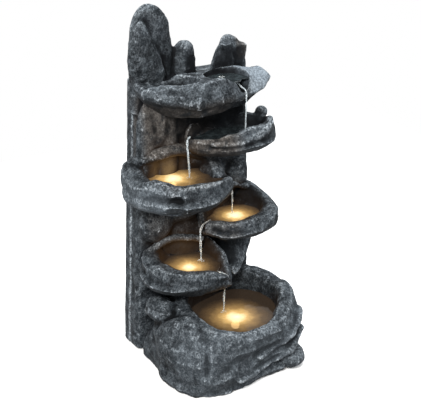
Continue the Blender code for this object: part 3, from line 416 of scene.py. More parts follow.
def weathering_tree():
    """Geometry Nodes: rock relief in three sizes, pushed along the normal and eased off where calm is 1."""
    tree = bpy.data.node_groups.new("weathered_rock", "GeometryNodeTree")
    face = tree.interface
    face.new_socket("Geometry", in_out="INPUT", socket_type="NodeSocketGeometry")
    heights = {"Lump Height": 4.0, "Crease Height": 3.0, "Chip Height": 3.0, "Grain Height": 0.8}
    for name, height in heights.items():
        face.new_socket(name, in_out="INPUT", socket_type="NodeSocketFloat").default_value = height * MM
    face.new_socket("Stone", in_out="INPUT", socket_type="NodeSocketMaterial")
    face.new_socket("Geometry", in_out="OUTPUT", socket_type="NodeSocketGeometry")
    g = Graph(tree)
    entry = tree.nodes.new("NodeGroupInput")
    given = {socket.name: Value(g, socket) for socket in entry.outputs if socket.name}
    place = g.node("GeometryNodeInputPosition")
    named = {"data_type": "FLOAT"}
    calm = g.node("GeometryNodeInputNamedAttribute", named, {"Name": "calm"}, out="Attribute")
    lump = g.noise(place, 17.0, 3.0, 0.5) - 0.5
    slab = g.noise(g.stretch(place, 1.0, 1.0, 1.9), 26.0, 5.0, 0.5, noise_type="RIDGED_MULTIFRACTAL")
    cells = {"Vector": place, "Scale": 30.0, "Smoothness": 0.2}
    chip = g.node("ShaderNodeTexVoronoi", {"feature": "SMOOTH_F1"}, cells)
    grain = g.noise(place, 170.0, 3.0, 0.6) - 0.5
    height = lump * 2.0 * given["Lump Height"] + (slab * 0.55 - 0.30) * given["Crease Height"]
    height = height + (0.42 - chip) * given["Chip Height"] + grain * 2.0 * given["Grain Height"]
    height = height * (1.0 - calm)
    normal = g.node("GeometryNodeInputNormal")
    offset = g.node("ShaderNodeVectorMath", {"operation": "SCALE"}, {0: normal, "Scale": height})
    moved = g.node("GeometryNodeSetPosition", {}, {"Geometry": given["Geometry"], "Offset": offset})
    plain = g.node("GeometryNodeRealizeInstances", {}, {0: moved})
    painted = g.node("GeometryNodeSetMaterial", {}, {"Geometry": plain, "Material": given["Stone"]})
    leave = tree.nodes.new("NodeGroupOutput")
    g.feed(leave.inputs[0], painted)
    return tree


def set_inputs(modifier, tree, values):
    """Set a modifier's named inputs by their sockets' identifiers."""
    for item in tree.interface.items_tree:
        if item.in_out == "INPUT" and item.name in values:
            modifier[item.identifier] = values[item.name]


def evaluated_mesh(piece):
    """The piece's mesh with its modifiers applied, and the modifiers removed."""
    deps = bpy.context.evaluated_depsgraph_get()
    mesh = bpy.data.meshes.new_from_object(piece.evaluated_get(deps))
    piece.modifiers.clear()
    piece.data = mesh
    return piece


# ---------------------------------------------------------------- castings

WALL = node_tree_of(NODES["wall_shell"])
ROOTED = ("head_cascade", "bowl_upper_right", "bowl_left", "bowl_right", "bowl_lower_left", "rock_fin",
          "basin", "foot_boulder")
ROCKS = ("wall_shell", "back_panel") + ROOTED
LAMPS = ("left", "right", "lower_left", "basin")
BOND_GAP, ROOT_DEPTH = 0.0012, 0.010
USUAL_VOXEL, QUICK_COARSER = 2.4, 1.7

# Voxel size and rounds of softening, then the height of lumps, creases, chips and grain, in millimetres.
CASTS = {
    "wall_shell": (3.9, 6, 5.0, 6.5, 3.5, 0.5),
    "back_panel": (3.3, 2, 1.6, 1.6, 0.8, 0.4),
    "head_cascade": (2.5, 8, 4.4, 5.2, 2.0, 0.7),
    "bowl_upper_right": (2.2, 9, 3.0, 4.4, 1.6, 0.6),
    "bowl_left": (2.4, 9, 3.6, 5.4, 2.0, 0.6),
    "bowl_right": (2.2, 9, 3.4, 4.6, 1.6, 0.6),
    "bowl_lower_left": (2.2, 9, 3.4, 4.8, 1.6, 0.6),
    "rock_fin": (2.2, 8, 2.6, 4.0, 2.0, 0.6),
    "basin": (3.4, 5, 6.0, 7.0, 4.0, 0.7),
    "foot_boulder": (2.2, 8, 2.0, 2.4, 1.6, 0.6),
}

# Further rock on a casting: centre, radii, turns about X, Y and Z in degrees, and True for a block or False for a
# rounded lump.
LUMPS = {
    "wall_shell": (
        ((-0.125, 0.108, 0.395), (0.052, 0.036, 0.060), (0, 10, 0), False),
        ((-0.030, 0.104, 0.415), (0.085, 0.030, 0.030), (0, -8, 0), False),
        ((-0.140, 0.110, 0.262), (0.036, 0.034, 0.042), (0, 0, 0), False),
        ((0.020, 0.100, 0.560), (0.050, 0.030, 0.040), (0, 12, 0), False),
        ((0.130, 0.110, 0.500), (0.034, 0.034, 0.060), (0, 0, 0), False),
        ((-0.147, 0.132, 0.850), (0.035, 0.026, 0.098), (0, 2, 0), False),
        ((-0.104, 0.150, 0.895), (0.055, 0.022, 0.090), (0, 0, 0), False),
        ((-0.120, 0.130, 0.815), (0.042, 0.022, 0.088), (0, -14, 0), False),
        ((0.114, 0.138, 0.815), (0.018, 0.013, 0.043), (4, -6, 14), True),
        ((0.147, 0.144, 0.806), (0.022, 0.013, 0.043), (0, 9, -10), True),
        ((-0.006, 0.142, 0.842), (0.018, 0.014, 0.024), (0, 10, 0), False),
        ((-0.090, 0.106, 0.600), (0.036, 0.024, 0.150), (0, -2, 0), False),
        ((-0.150, 0.108, 0.600), (0.030, 0.024, 0.150), (0, 2, 0), False),
    ),
    "back_panel": (
        ((-0.104, 0.172, 0.895), (0.052, 0.024, 0.084), (0, 0, 0), False),
    ),
    "bowl_left": (
        ((-0.194, 0.070, 0.516), (0.042, 0.050, 0.046), (0, 20, 0), False),
        ((-0.110, 0.020, 0.482), (0.085, 0.075, 0.026), (0, 6, 10), False),
        ((0.024, 0.062, 0.532), (0.036, 0.046, 0.032), (0, 20, 0), False),
    ),
    "bowl_right": (
        ((0.090, 0.040, 0.372), (0.085, 0.075, 0.024), (0, -10, 0), False),
        ((-0.010, 0.008, 0.392), (0.020, 0.017, 0.022), (0, 0, 20), False),
    ),
    "bowl_lower_left": (
        ((-0.150, 0.045, 0.268), (0.044, 0.055, 0.034), (0, 20, 0), False),
        ((-0.080, 0.020, 0.238), (0.078, 0.070, 0.022), (0, 4, 0), False),
    ),
    "bowl_upper_right": (
        ((0.090, 0.050, 0.607), (0.095, 0.070, 0.024), (0, -8, 0), False),
    ),
    "basin": (
        ((-0.128, -0.070, 0.120), (0.050, 0.070, 0.062), (0, 14, 0), False),
        ((-0.060, -0.150, 0.085), (0.090, 0.052, 0.074), (0, 4, 0), False),
    ),
}

# Ridges of rock that run over a face, seen from the front: the node whose face it is, X and Z of each bend,
# the radius, and how far the ridge stands out.
RIDGES = {
    "basin": (
        ("basin", ((-0.050, 0.052), (0.000, 0.050), (0.060, 0.062), (0.120, 0.080), (0.180, 0.108)), 0.015, 0.003),
        ("basin", ((0.020, 0.092), (0.080, 0.108), (0.140, 0.130), (0.190, 0.150)), 0.013, 0.001),
    ),
    "bowl_left": (
        ("wall_shell", ((-0.180, 0.562), (-0.150, 0.590), (-0.105, 0.603), (-0.050, 0.598), (0.000, 0.578),
                        (0.042, 0.548)), 0.023, 0.016),
    ),
    "bowl_lower_left": (
        ("wall_shell", ((-0.150, 0.318), (-0.110, 0.340), (-0.060, 0.346), (-0.010, 0.334)), 0.014, 0.016),
    ),
    "bowl_right": (
        ("wall_shell", ((0.020, 0.440), (0.060, 0.462), (0.110, 0.464), (0.150, 0.448)), 0.014, 0.016),
    ),
    "bowl_upper_right": (
        ("bowl_upper_right", ((-0.010, 0.636), (0.040, 0.632), (0.100, 0.640), (0.160, 0.652)), 0.011, 0.002),
    ),
}
RIDGE_STEPS, RIDGE_FLATNESS = 8, 0.8
IN_FRONT = -0.3

# Lips that are raised: pool centre, from and to which height the lift grows, the lift, and its middle and
# half spread round the pool in degrees.
LIFTS = {
    "bowl_left": ((-0.085, 0.040), 0.530, 0.580, 0.027, -105, 74),
    "bowl_right": ((0.085, 0.030), 0.405, 0.455, 0.007, -80, 62),
    "bowl_lower_left": ((-0.060, 0.030), 0.288, 0.330, 0.021, -125, 62),
    "bowl_upper_right": ((0.075, 0.050), 0.630, 0.665, 0.020, -70, 76),
    "basin": ((0.020, -0.040), 0.140, 0.200, 0.022, -85, 100),
}
LIFT_EASE = 22

# Hollows pressed into a casting: centre, radii, turn about Z in degrees, and the push at the middle.
DENTS = {
    "head_cascade": (((-0.081, 0.072, 0.799), (0.068, 0.040, 0.034), -30, (0.0, 0.0, -0.030)),
                     ((-0.040, -0.020, 0.742), (0.060, 0.036, 0.032), -20, (0.002, 0.008, 0.002))),
    "bowl_left": (((-0.150, -0.060, 0.505), (0.030, 0.034, 0.034), -35, (0.008, 0.014, 0.0)),),
    "basin": (((0.110, -0.170, 0.050), (0.090, 0.030, 0.016), 30, (-0.004, 0.009, 0.0)),
              ((-0.118, -0.165, 0.090), (0.014, 0.040, 0.080), -35, (0.005, 0.008, 0.0))),
}

# Boxes where a casting keeps its true faces: inside the wall, the sump, the door's seat and the like.
CALM = {
    "wall_shell": (((-0.148, 0.121, 0.008), (0.150, 0.30, 0.745)),
                   ((-0.11, 0.05, -0.01), (0.11, 0.30, 0.158))),
    "back_panel": (((-0.148, 0.00, 0.008), (0.150, 0.199, 0.745)),
                   ((-0.110, 0.19, 0.03), (0.095, 0.22, 0.27)),
                   ((0.030, 0.16, 0.01), (0.140, 0.22, 0.095))),
    "basin": (((-0.106, 0.080, -0.01), (0.106, 0.20, 0.158)),
              ((-0.16, -0.17, -0.01), (0.15, 0.08, 0.076)),
              ((-0.036, 0.010, 0.080), (0.036, 0.13, 0.140))),
    "head_cascade": (((0.045, 0.060, 0.700), (0.075, 0.120, 0.778)),),
}

# Zones of the stone's paint: for each axis the slope where the zone begins and the slope where it ends.
ZONES = {
    "petal": ((0, (0.105, 0.135), None), (1, None, (0.098, 0.116)), (2, (0.735, 0.755), (0.80, 0.84))),
    "flank": ((0, None, (-0.185, -0.150)), (2, (0.45, 0.47), (0.54, 0.57))),
    "front": ((1, None, (-0.15, -0.08)), (2, None, (0.17, 0.20))),
    "under": ((0, None, (0.02, 0.08)), (2, (0.54, 0.60), (0.735, 0.765))),
    "crag": ((0, (0.135, 0.15), None), (2, (0.80, 0.82), None)),
    "middle": ((0, None, (0.02, 0.06)), (2, (0.30, 0.33), (0.42, 0.45))),
    "painted_warmth_reach": ((0, (-0.175, -0.150), None), (1, None, (0.150, 0.166))),
}
# Rounds of averaging for the fine and the broad relief, and the height that counts as a full ridge.
FINE_ROUNDS, FINE_RIDGE = 10, 0.0007
BROAD_ROUNDS, BROAD_RIDGE = 60, 0.0030
# Lamp light weaker than this isn't traced, and its rays start this far off the rock.
FAINT, RAY_LIFT = 0.02, 0.006


def calm_share(points, boxes, ease=0.008):
    """1 inside the boxes, falling to 0 outside them."""
    share = np.zeros(len(points))
    for low, high in boxes:
        outside = np.maximum(np.maximum(np.array(low) - points, points - np.array(high)), 0.0)
        share = np.maximum(share, 1.0 - smooth_step(0.0, ease, np.linalg.norm(outside, axis=1)))
    return share


def add_ridge(bm, face, bends, radius, stand_out):
    """A chain of overlapping balls along a node's front face; the remesh makes one ridge of it."""
    sight = node_tree_of(NODES[face])
    for spot in smooth_path([(x, 0.0, z) for x, z in bends], RIDGE_STEPS):
        hit = sight.ray_cast(Vector((spot.x, IN_FRONT, spot.z)), Vector((0, 1, 0)))
        if hit[0] is None:
            continue
        flat = Matrix.Translation((spot.x, hit[0].y - stand_out, spot.z))
        flat = flat @ Matrix.Diagonal((1.0, 1.0, RIDGE_FLATNESS, 1.0))
        bmesh.ops.create_icosphere(bm, subdivisions=2, radius=radius, matrix=flat)


def turned_distance(points, centre, radii, turn):
    """Distance from a centre, 1 on the surface of an ellipsoid that is turned about Z."""
    turned = np.array(Matrix.Rotation(math.radians(-turn), 3, "Z"))
    return np.linalg.norm((points - np.array(centre)) @ turned.T / np.array(radii), axis=1)


def pressed(node, points):
    """Points after the casting's lip has been raised and its hollow pressed in."""
    points = points.copy()
    if node in LIFTS:
        centre, low, high, lift, middle, spread = LIFTS[node]
        turn = np.degrees(np.arctan2(points[:, 1] - centre[1], points[:, 0] - centre[0]))
        away = np.abs((turn - middle + 180) % 360 - 180)
        share = smooth_step(low, high, points[:, 2]) * (1 - smooth_step(spread - LIFT_EASE, spread, away))
        points[:, 2] += lift * share
    for centre, radii, turn, push in DENTS.get(node, ()):
        depth = np.clip(1 - turned_distance(points, centre, radii, turn) ** 2, 0, 1) ** 1.2
        points += depth[:, None] * np.array(push)
    return points


def rough_copy(node):
    """Merged copy of a node, rooted a little way into the wall, with its further lumps."""
    bm = bmesh.new()
    bm.from_mesh(NODES[node].data)
    bmesh.ops.remove_doubles(bm, verts=bm.verts, dist=0.00002)
    if node in ROOTED:
        for vert in bm.verts:
            near = WALL.find_nearest(vert.co, BOND_GAP)
            if near[0] is not None:
                vert.co.y += ROOT_DEPTH
    for centre, radii, turns, block in LUMPS.get(node, ()):
        turn = Euler([math.radians(a) for a in turns]).to_matrix().to_4x4()
        place = Matrix.Translation(centre) @ turn @ Matrix.Diagonal((*radii, 1.0))
        if block:
            bmesh.ops.create_cube(bm, size=2.0, matrix=place)
        else:
            bmesh.ops.create_icosphere(bm, subdivisions=3, radius=1.0, matrix=place)
    for ridge in RIDGES.get(node, ()):
        add_ridge(bm, *ridge)
    return new_piece(node + "_casting", mesh_from(bm, node + "_casting"))


def rounds_for(voxel, rounds, least):
    """Rounds of averaging that reach equally far at any voxel size."""
    return max(least, int(rounds * (USUAL_VOXEL / voxel) ** 2))


def make_casting(node, tree, stone):
    """The node's weathered casting, with its edges, its calm share and its voxel size."""
    voxel, soften, lump, crease, chips, grain = CASTS[node]
    voxel *= 1.0
    piece = rough_copy(node)
    remesh = piece.modifiers.new("remesh", "REMESH")
    remesh.mode = "VOXEL"
    remesh.voxel_size = voxel * MM
    remesh.use_smooth_shade = True
    evaluated_mesh(piece)
    mesh = piece.data
    points = points_of(mesh)
    edges = np.zeros(len(mesh.edges) * 2, np.int32)
    mesh.edges.foreach_get("vertices", edges)
    edges = edges.reshape(-1, 2)
    calm = calm_share(points, CALM.get(node, ()))
    soft = rounded(points, edges, rounds_for(voxel, soften, 2))
    points = pressed(node, points + (soft - points) * (1.0 - calm)[:, None])
    mesh.vertices.foreach_set("co", points.astype(np.float32).ravel())
    mesh.update()
    store(mesh, "calm", calm)
    weather = piece.modifiers.new("weather", "NODES")
    weather.node_group = tree
    heights = {"Lump Height": lump * MM, "Crease Height": crease * MM, "Chip Height": chips * MM,
               "Grain Height": grain * MM, "Stone": stone}
    set_inputs(weather, tree, heights)
    evaluated_mesh(piece)
    return piece, edges, calm, voxel


def zone(points, name):
    """1 inside a zone of the paint, with smooth slopes at its ends."""
    share = np.ones(len(points))
    for axis, start, end in ZONES[name]:
        if start:
            share *= smooth_step(*start, points[:, axis])
        if end:
            share *= 1 - smooth_step(*end, points[:, axis])
    return share


def paint_guides(piece, edges, calm, voxel, lamps, sight):
    """Per-point guides for the finish: relief, wetness, painted lamp light, painted light and shade by facing,
    painted shade in hollows, pale parts, and brown parts that partly carry painted warm light.
    """
    mesh = piece.data
    points, normals = points_of(mesh), normals_of(mesh)
    fine = rounded(points, edges, rounds_for(voxel, FINE_ROUNDS, 2))
    broad = rounded(points, edges, rounds_for(voxel, BROAD_ROUNDS, 6))
    keep = 1.0 - calm
    store(mesh, "ridge", np.clip(((points - fine) * normals).sum(1) / FINE_RIDGE, -1.5, 1.5) * keep)
    store(mesh, "broad", np.clip(((points - broad) * normals).sum(1) / BROAD_RIDGE, -1.5, 1.5) * keep)
    # Painted light and shade: faces turned up and to the left, towards the key light, are lighter, faces turned
    # down darker.
    store(mesh, "up", smooth_step(-0.7, 0.8, normals[:, 2] * 0.85 - normals[:, 0] * 0.2))
    store(mesh, "painted_lamp_glow", lamp_light(points, normals, lamps, sight))
    store(mesh, "wet", wetness(points))
    store(mesh, "shade", painted_shade(points, normals))
    # Pale: the petal is a painted highlight of the light from behind and right; the left flank and the low front
    # are paler in tone.
    petal = zone(points, "petal") * smooth_step(-0.6, 0.0, normals[:, 2])
    pale = petal + zone(points, "flank") * 0.275 + zone(points, "front") * 0.14
    store(mesh, "pale", np.clip(pale, 0, 1) * keep)
    # Brown: painted warm lamp light on the rock above the lit left and lower-left pools, and a brown tone on the
    # right crag.
    painted_warmth_and_brown = zone(points, "under") + zone(points, "crag") * 0.7 + zone(points, "middle") * 0.5
    store(mesh, "painted_warmth_and_brown", np.clip(painted_warmth_and_brown, 0, 1) * zone(points, "painted_warmth_reach"))


def lamp_light(points, normals, lamps, sight):
    """Light that reaches each point straight from the pods, painted on the rock as emission."""
    total = np.zeros(len(points))
    for lamp, reach, strength in lamps:
        way = np.array(lamp) - points
        far = np.linalg.norm(way, axis=1)
        toward = (way * normals).sum(1) / np.maximum(far, 1e-6)
        share = strength * np.clip(toward * 0.8 + 0.2, 0, 1) * np.exp(-(far / reach) ** 2)
        for k in np.nonzero(share > FAINT)[0]:
            start = Vector(points[k]) + Vector(normals[k]) * RAY_LIFT
            ray = lamp - start
            hit = sight.ray_cast(start, ray.normalized(), ray.length)
            if hit[0] is None:
                total[k] += share[k]
    return np.clip(total, 0, 1)


def painted_shade(points, normals):
    """Painted shade: 1 in the pressed hollow and on the rock that faces a pool, 0 in the open."""
    share = smooth_step(0.0, 0.5, 1 - turned_distance(points, *DENTS["head_cascade"][0][:3])) * 0.9
    for _, opening, level, _ in POOLS:
        low, high = OPENINGS[opening]
        way = np.array(((low.x + high.x) / 2, (low.y + high.y) / 2)) - points[:, :2]
        far = np.maximum(np.linalg.norm(way, axis=1), 1e-6)
        facing = smooth_step(0.15, 0.6, (way * normals[:, :2]).sum(1) / far)
        near = (1 - smooth_step(0.125, 0.16, far)) * smooth_step(-0.03, -0.02, points[:, 2] - level)
        share = np.maximum(share, facing * near * (1 - smooth_step(0.045, 0.075, points[:, 2] - level)))
    return share


def wetness(points):
    """1 where water runs or splashes."""
    share = np.zeros(len(points))
    for route in STREAMS.values():
        for spot in route:
            far = np.linalg.norm(points - np.array(spot), axis=1)
            share = np.maximum(share, 1 - smooth_step(0.006, 0.022, far))
    return share


# ---------------------------------------------------------------- water

# Falling water, from the lip to the pool below, as listed points.
STREAMS = {
    "stream_head": ((0.094, 0.058, 0.774), (0.099, 0.038, 0.762), (0.102, 0.022, 0.755),
                    (0.1005, 0.015, 0.738), (0.0995, 0.014, 0.700), (0.0985, 0.015, 0.640)),
    "stream_upper": ((-0.044, 0.060, 0.642), (-0.050, 0.057, 0.638), (-0.055, 0.053, 0.629),
                     (-0.058, 0.046, 0.605), (-0.057, 0.042, 0.570), (-0.056, 0.042, 0.535)),
    "stream_middle": ((0.044, 0.036, 0.520), (0.056, 0.034, 0.517), (0.068, 0.032, 0.508),
                      (0.070, 0.031, 0.470), (0.069, 0.031, 0.410)),
    "stream_right": ((0.000, 0.032, 0.402), (-0.016, 0.030, 0.398), (-0.030, 0.028, 0.384),
                     (-0.031, 0.028, 0.340), (-0.030, 0.028, 0.290)),
    "stream_low": ((-0.006, -0.014, 0.272), (0.010, -0.030, 0.264), (0.018, -0.040, 0.250),
                   (0.010, -0.036, 0.232), (0.007, -0.034, 0.200), (0.006, -0.034, 0.150)),
}
# Pools: the opening that gives the place, the water's level, and the light pod in it.
POOLS = (
    ("water_head", "head_pool", 0.7835, None),
    ("water_upper", "upper_right_pool", 0.632, None),
    ("water_left", "left_pool", 0.5360, "left"),
    ("water_right", "right_pool", 0.4010, "right"),
    ("water_lower_left", "lower_left_pool", 0.2840, "lower_left"),
    ("water_basin", "basin_pool", 0.142, "basin"),
)
# Where each pod's beam breaks the surface, how far its painted light reaches over the rock, and over the water.
BEAMS = {
    "left": ((-0.098, 0.057), 0.062, 0.100),
    "right": ((0.079, 0.030), 0.055, 0.085),
    "lower_left": ((-0.071, 0.021), 0.074, 0.082),
    "basin": ((0.027, -0.063), 0.075, 0.106),
}
BEAM_LIFT, BEAM_STRENGTH = 0.012, 0.8
RINGS, SPOKES = 34, 96
WATER_DEPTH, ROOT_IN_ROCK, LONGEST_POOL = 0.004, 0.006, 0.16
STEPS_PER_BEND, THREADS, THREAD_SIDES = 14, 4, 8
SPLASH_RADIUS, SPLASH_LIFT, BEAD_RADIUS, BEADS_PER_AREA = 0.009, 0.0006, 0.0011, 90000.0


def way_round(count):
    """Angles of a full turn in equal steps."""
    return [2 * math.pi * k / count for k in range(count)]


def shore(centre, level, sight):
    """Distance from a pool's centre to the rock, in each direction at the water's level."""
    reach = []
    middle = Vector((centre.x, centre.y, level))
    for a in way_round(SPOKES):
        hit = sight.ray_cast(middle, Vector((math.cos(a), math.sin(a), 0)), LONGEST_POOL)
        reach.append(hit[3] if hit[0] is not None else None)
    known = [r for r in reach if r is not None]
    usual = sorted(known)[len(known) // 2]
    reach = [min(r, usual * 1.7) if r is not None else usual for r in reach]
    return [min(reach[k - 1], reach[k], reach[(k + 1) % SPOKES]) + ROOT_IN_ROCK for k in range(SPOKES)]


def ripple_height(x, y, landing, seed):
    """Rings that spread from where the stream lands, over a slow swell."""
    swell = 0.0005 * math.sin(70 * x + seed) * math.sin(64 * y + 2 * seed)
    if landing is None:
        return swell
    far = math.hypot(x - landing[0], y - landing[1])
    return swell + 0.0016 * math.cos(far * 620) * math.exp(-far / 0.022)


def make_pool(name, opening, level, landing, seed, sight):
    """A thin body of water from shore to shore, rippled on top and flat below."""
    low, high = OPENINGS[opening]
    centre = (low + high) / 2
    reach = shore(centre, level, sight)
    bm = bmesh.new()
    top_middle = bm.verts.new((centre.x, centre.y, level))
    floor_middle = bm.verts.new((centre.x, centre.y, level - WATER_DEPTH))
    loops = []
    for ring in range(1, RINGS + 1):
        share = (ring / RINGS) ** 0.85
        loop = []
        for a, far in zip(way_round(SPOKES), reach):
            x, y = centre.x + far * share * math.cos(a), centre.y + far * share * math.sin(a)
            loop.append(bm.verts.new((x, y, level + ripple_height(x, y, landing, seed))))
        loops.append(loop)
    rim = [bm.verts.new((vert.co.x, vert.co.y, level - WATER_DEPTH)) for vert in loops[-1]]
    loops.append(rim)
    for k in range(SPOKES):
        j = (k + 1) % SPOKES
        bm.faces.new((top_middle, loops[0][k], loops[0][j]))
        bm.faces.new((floor_middle, rim[j], rim[k]))
        for inner, outer in zip(loops, loops[1:]):
            bm.faces.new((inner[k], outer[k], outer[j], inner[j]))
    bmesh.ops.recalc_face_normals(bm, faces=bm.faces)
    mesh = mesh_from(bm, name)
    mesh.shade_smooth()
    return new_piece(name, mesh)


def smooth_path(points, steps):
    """Points of a smooth curve through given ones."""
    spots = [Vector(p) for p in points]
    path = []
    for k in range(len(spots) - 1):
        a, b, c, d = spots[max(0, k - 1)], spots[k], spots[k + 1], spots[min(len(spots) - 1, k + 2)]
        for step in range(steps):
            t = step / steps
            path.append(b + 0.5 * t * (c - a + t * (2 * a - 5 * b + 4 * c - d + t * (3 * (b - c) + d - a))))
    return path + [spots[-1]]


def make_stream(name, route, chance):
    """A fall of a few twisting threads that part and narrow on the way down."""
    path = smooth_path(route, STEPS_PER_BEND)
    bm = bmesh.new()
    for _ in range(THREADS):
        phase, turns = chance.uniform(0, 6.3), chance.uniform(2.0, 4.5)
        spread, thick = chance.uniform(0.0008, 0.0024), chance.uniform(0.0009, 0.0018)
        loops = []
        for k, spot in enumerate(path):
            share = k / (len(path) - 1)
            wander = phase + turns * share * 2 * math.pi * 0.5
            middle = spot + Vector((math.cos(wander), math.sin(wander), 0)) * spread * (1.3 - 0.5 * share)
            width = thick * (1.25 - 0.45 * share) * (0.88 + 0.22 * math.sin(k * 0.55 + phase * 3))
            ahead = (path[min(k + 1, len(path) - 1)] - path[max(k - 1, 0)]).normalized()
            side = ahead.cross(Vector((0.3, 0.9, 0.1))).normalized()
            up = ahead.cross(side)
            loops.append([bm.verts.new(middle + width * (math.cos(a) * side + math.sin(a) * up))
                          for a in way_round(THREAD_SIDES)])
        for first, second in zip(loops, loops[1:]):
            for i in range(THREAD_SIDES):
                j = (i + 1) % THREAD_SIDES
                bm.faces.new((first[i], first[j], second[j], second[i]))
        bm.faces.new(loops[0][::-1])
        bm.faces.new(loops[-1])
    bmesh.ops.recalc_face_normals(bm, faces=bm.faces)
    mesh = mesh_from(bm, name)
    mesh.shade_smooth()
    return new_piece(name, mesh)


def splash_tree():
    """Geometry Nodes: beads of froth scattered over a small disc where a stream lands."""
    tree = bpy.data.node_groups.new("splash_beads", "GeometryNodeTree")
    face = tree.interface
    face.new_socket("Geometry", in_out="INPUT", socket_type="NodeSocketGeometry")
    for name, start in (("Bead Radius", BEAD_RADIUS), ("Density", BEADS_PER_AREA)):
        face.new_socket(name, in_out="INPUT", socket_type="NodeSocketFloat").default_value = start
    face.new_socket("Seed", in_out="INPUT", socket_type="NodeSocketInt")
    face.new_socket("Froth", in_out="INPUT", socket_type="NodeSocketMaterial")
    face.new_socket("Geometry", in_out="OUTPUT", socket_type="NodeSocketGeometry")
    g = Graph(tree)
    entry = tree.nodes.new("NodeGroupInput")
    given = {socket.name: Value(g, socket) for socket in entry.outputs if socket.name}
    scatter = {"Mesh": given["Geometry"], "Density": given["Density"], "Seed": given["Seed"]}
    spots = g.node("GeometryNodeDistributePointsOnFaces", {}, scatter)
    bead = g.node("GeometryNodeMeshIcoSphere", {}, {"Radius": given["Bead Radius"], "Subdivisions": 2})
    sizes = {2: 0.35, 3: 1.0, "Seed": given["Seed"]}
    size = g.node("FunctionNodeRandomValue", {"data_type": "FLOAT"}, sizes, out=1)
    placed = g.node("GeometryNodeInstanceOnPoints", {}, {"Points": spots, "Instance": bead, "Scale": size})
    plain = g.node("GeometryNodeRealizeInstances", {}, {0: placed})
    painted = g.node("GeometryNodeSetMaterial", {}, {"Geometry": plain, "Material": given["Froth"]})
    leave = tree.nodes.new("NodeGroupOutput")
    g.feed(leave.inputs[0], painted)
    return tree


def make_splash(name, landing, seed, tree, froth):
    """Beads of froth where a stream lands."""
    bm = bmesh.new()
    place = Matrix.Translation((landing[0], landing[1], landing[2] + SPLASH_LIFT))
    bmesh.ops.create_circle(bm, cap_ends=True, segments=24, radius=SPLASH_RADIUS, matrix=place)
    piece = new_piece(name, mesh_from(bm, name))
    beads = piece.modifiers.new("beads", "NODES")
    beads.node_group = tree
    set_inputs(beads, tree, {"Seed": seed, "Froth": froth})
    return evaluated_mesh(piece)


def make_water(sight):
    """Pools, falls and froth."""
    landings = {"water_upper": "stream_head", "water_left": "stream_upper", "water_right": "stream_middle",
                "water_lower_left": "stream_right", "water_basin": "stream_low"}
    # The falls and the froth give off painted light: cool on the upper falls, warm lamp light on the lower falls
    # and the froth.
    dark = dark_water_finish()
    cool = stream_finish("falling_water", colour(0.75, 0.85, 0.90), 0.10)
    warm = stream_finish("lit_falling_water", colour(1.0, 0.66, 0.34), 0.45)
    froth = stream_finish("froth", colour(1.0, 0.82, 0.55), 0.35)
    beads = splash_tree()
    for seed, (name, opening, level, lamp) in enumerate(POOLS, 1):
        landing = STREAMS[landings[name]][-1] if name in landings else None
        pool = make_pool(name, opening, level, landing, seed, sight)
        if lamp:
            place, _, reach = BEAMS[lamp]
            finish = water_finish(name + "_lit", (*place, level), reach, colour(0.012, 0.008, 0.005))
        else:
            finish = dark
        dress(pool, finish, ROOT, "lens_clear")
        if landing:
            dress(make_splash(name + "_froth", landing, seed, beads, froth), froth, ROOT, "lens_clear")
        if name == "water_head":
            low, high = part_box("top_outlet")
            well = ((low.x + high.x) / 2, (low.y + high.y) / 2, level + 0.001)
            dress(make_splash("head_bubbles", well, seed, beads, froth), froth, ROOT, "lens_clear")
    chance = random.Random(7)
    for name, route in STREAMS.items():
        finish = cool if name in ("stream_head", "stream_upper") else warm
        dress(make_stream(name, route, chance), finish, ROOT, "lens_clear")


# ---------------------------------------------------------------- hardware

def paint_hardware(stone):
    """Materials for the frame nodes that stay as they are."""
    black = moulded_finish("black_moulding", (0.018, 0.018, 0.020))
    dark = moulded_finish("dark_moulding", (0.032, 0.032, 0.034), 0.40)
    rubber = moulded_finish("soft_rubber", (0.022, 0.022, 0.022), 0.80, 500.0)
    jacket = moulded_finish("cable_jacket", (0.014, 0.014, 0.015), 0.55, 700.0)
    blue = moulded_finish("dial_blue", (0.06, 0.20, 0.42), 0.35, 800.0, 0.3)
    rotor = moulded_finish("rotor_white", (0.62, 0.63, 0.65), 0.40)
    ceramic = moulded_finish("ceramic_white", (0.80, 0.80, 0.76), 0.20, 1200.0, 0.5)
    steel = metal_finish("brushed_steel", (0.30, 0.30, 0.31), 0.42)
    turned = metal_finish("turned_aluminium", (0.40, 0.41, 0.42), 0.36, (1.0, 1.0, 0.2))
    finishes = {
        "black_plastic": black, "dial_plastic": blue, "rotor_plastic": rotor, "ceramic_shaft": ceramic,
        "hinge_steel": steel, "black_rubber": rubber, "lead_jacket": jacket, "pod_metal": turned,
        "lens_clear": lens_finish(), "clear_tube": tube_finish(), "cast_rock": stone,
    }
    for row in frame["record"]["subparts"]:
        node = NODES[row["node"]]
        finish = finishes[row["material_slot"]]
        if row["node"] in ("junction_lid", "pump_volute_cap", "intake_cover"):
            finish = dark
        node.data.materials.clear()
        node.data.materials.append(finish)


# ---------------------------------------------------------------- studio

# Each large light: place, size, power and tone. All of them face the middle of the fountain.
AREAS = {
    "key": ((-1.6, -2.0, 2.4), 0.8, 190.0, (1.0, 0.99, 0.97)),
    "fill": ((2.4, -1.6, 1.4), 1.2, 26.0, (0.92, 0.96, 1.0)),
    "top": ((0.4, 0.6, 2.6), 0.8, 70.0, (0.95, 0.98, 1.0)),
}
LIT_MIDDLE = (0.0, 0.0, 0.48)
POD_POWER, POD_SIZE, POD_TONE = 0.07, 0.012, (1.0, 0.66, 0.30)
FLOOR_HALF = 1.7
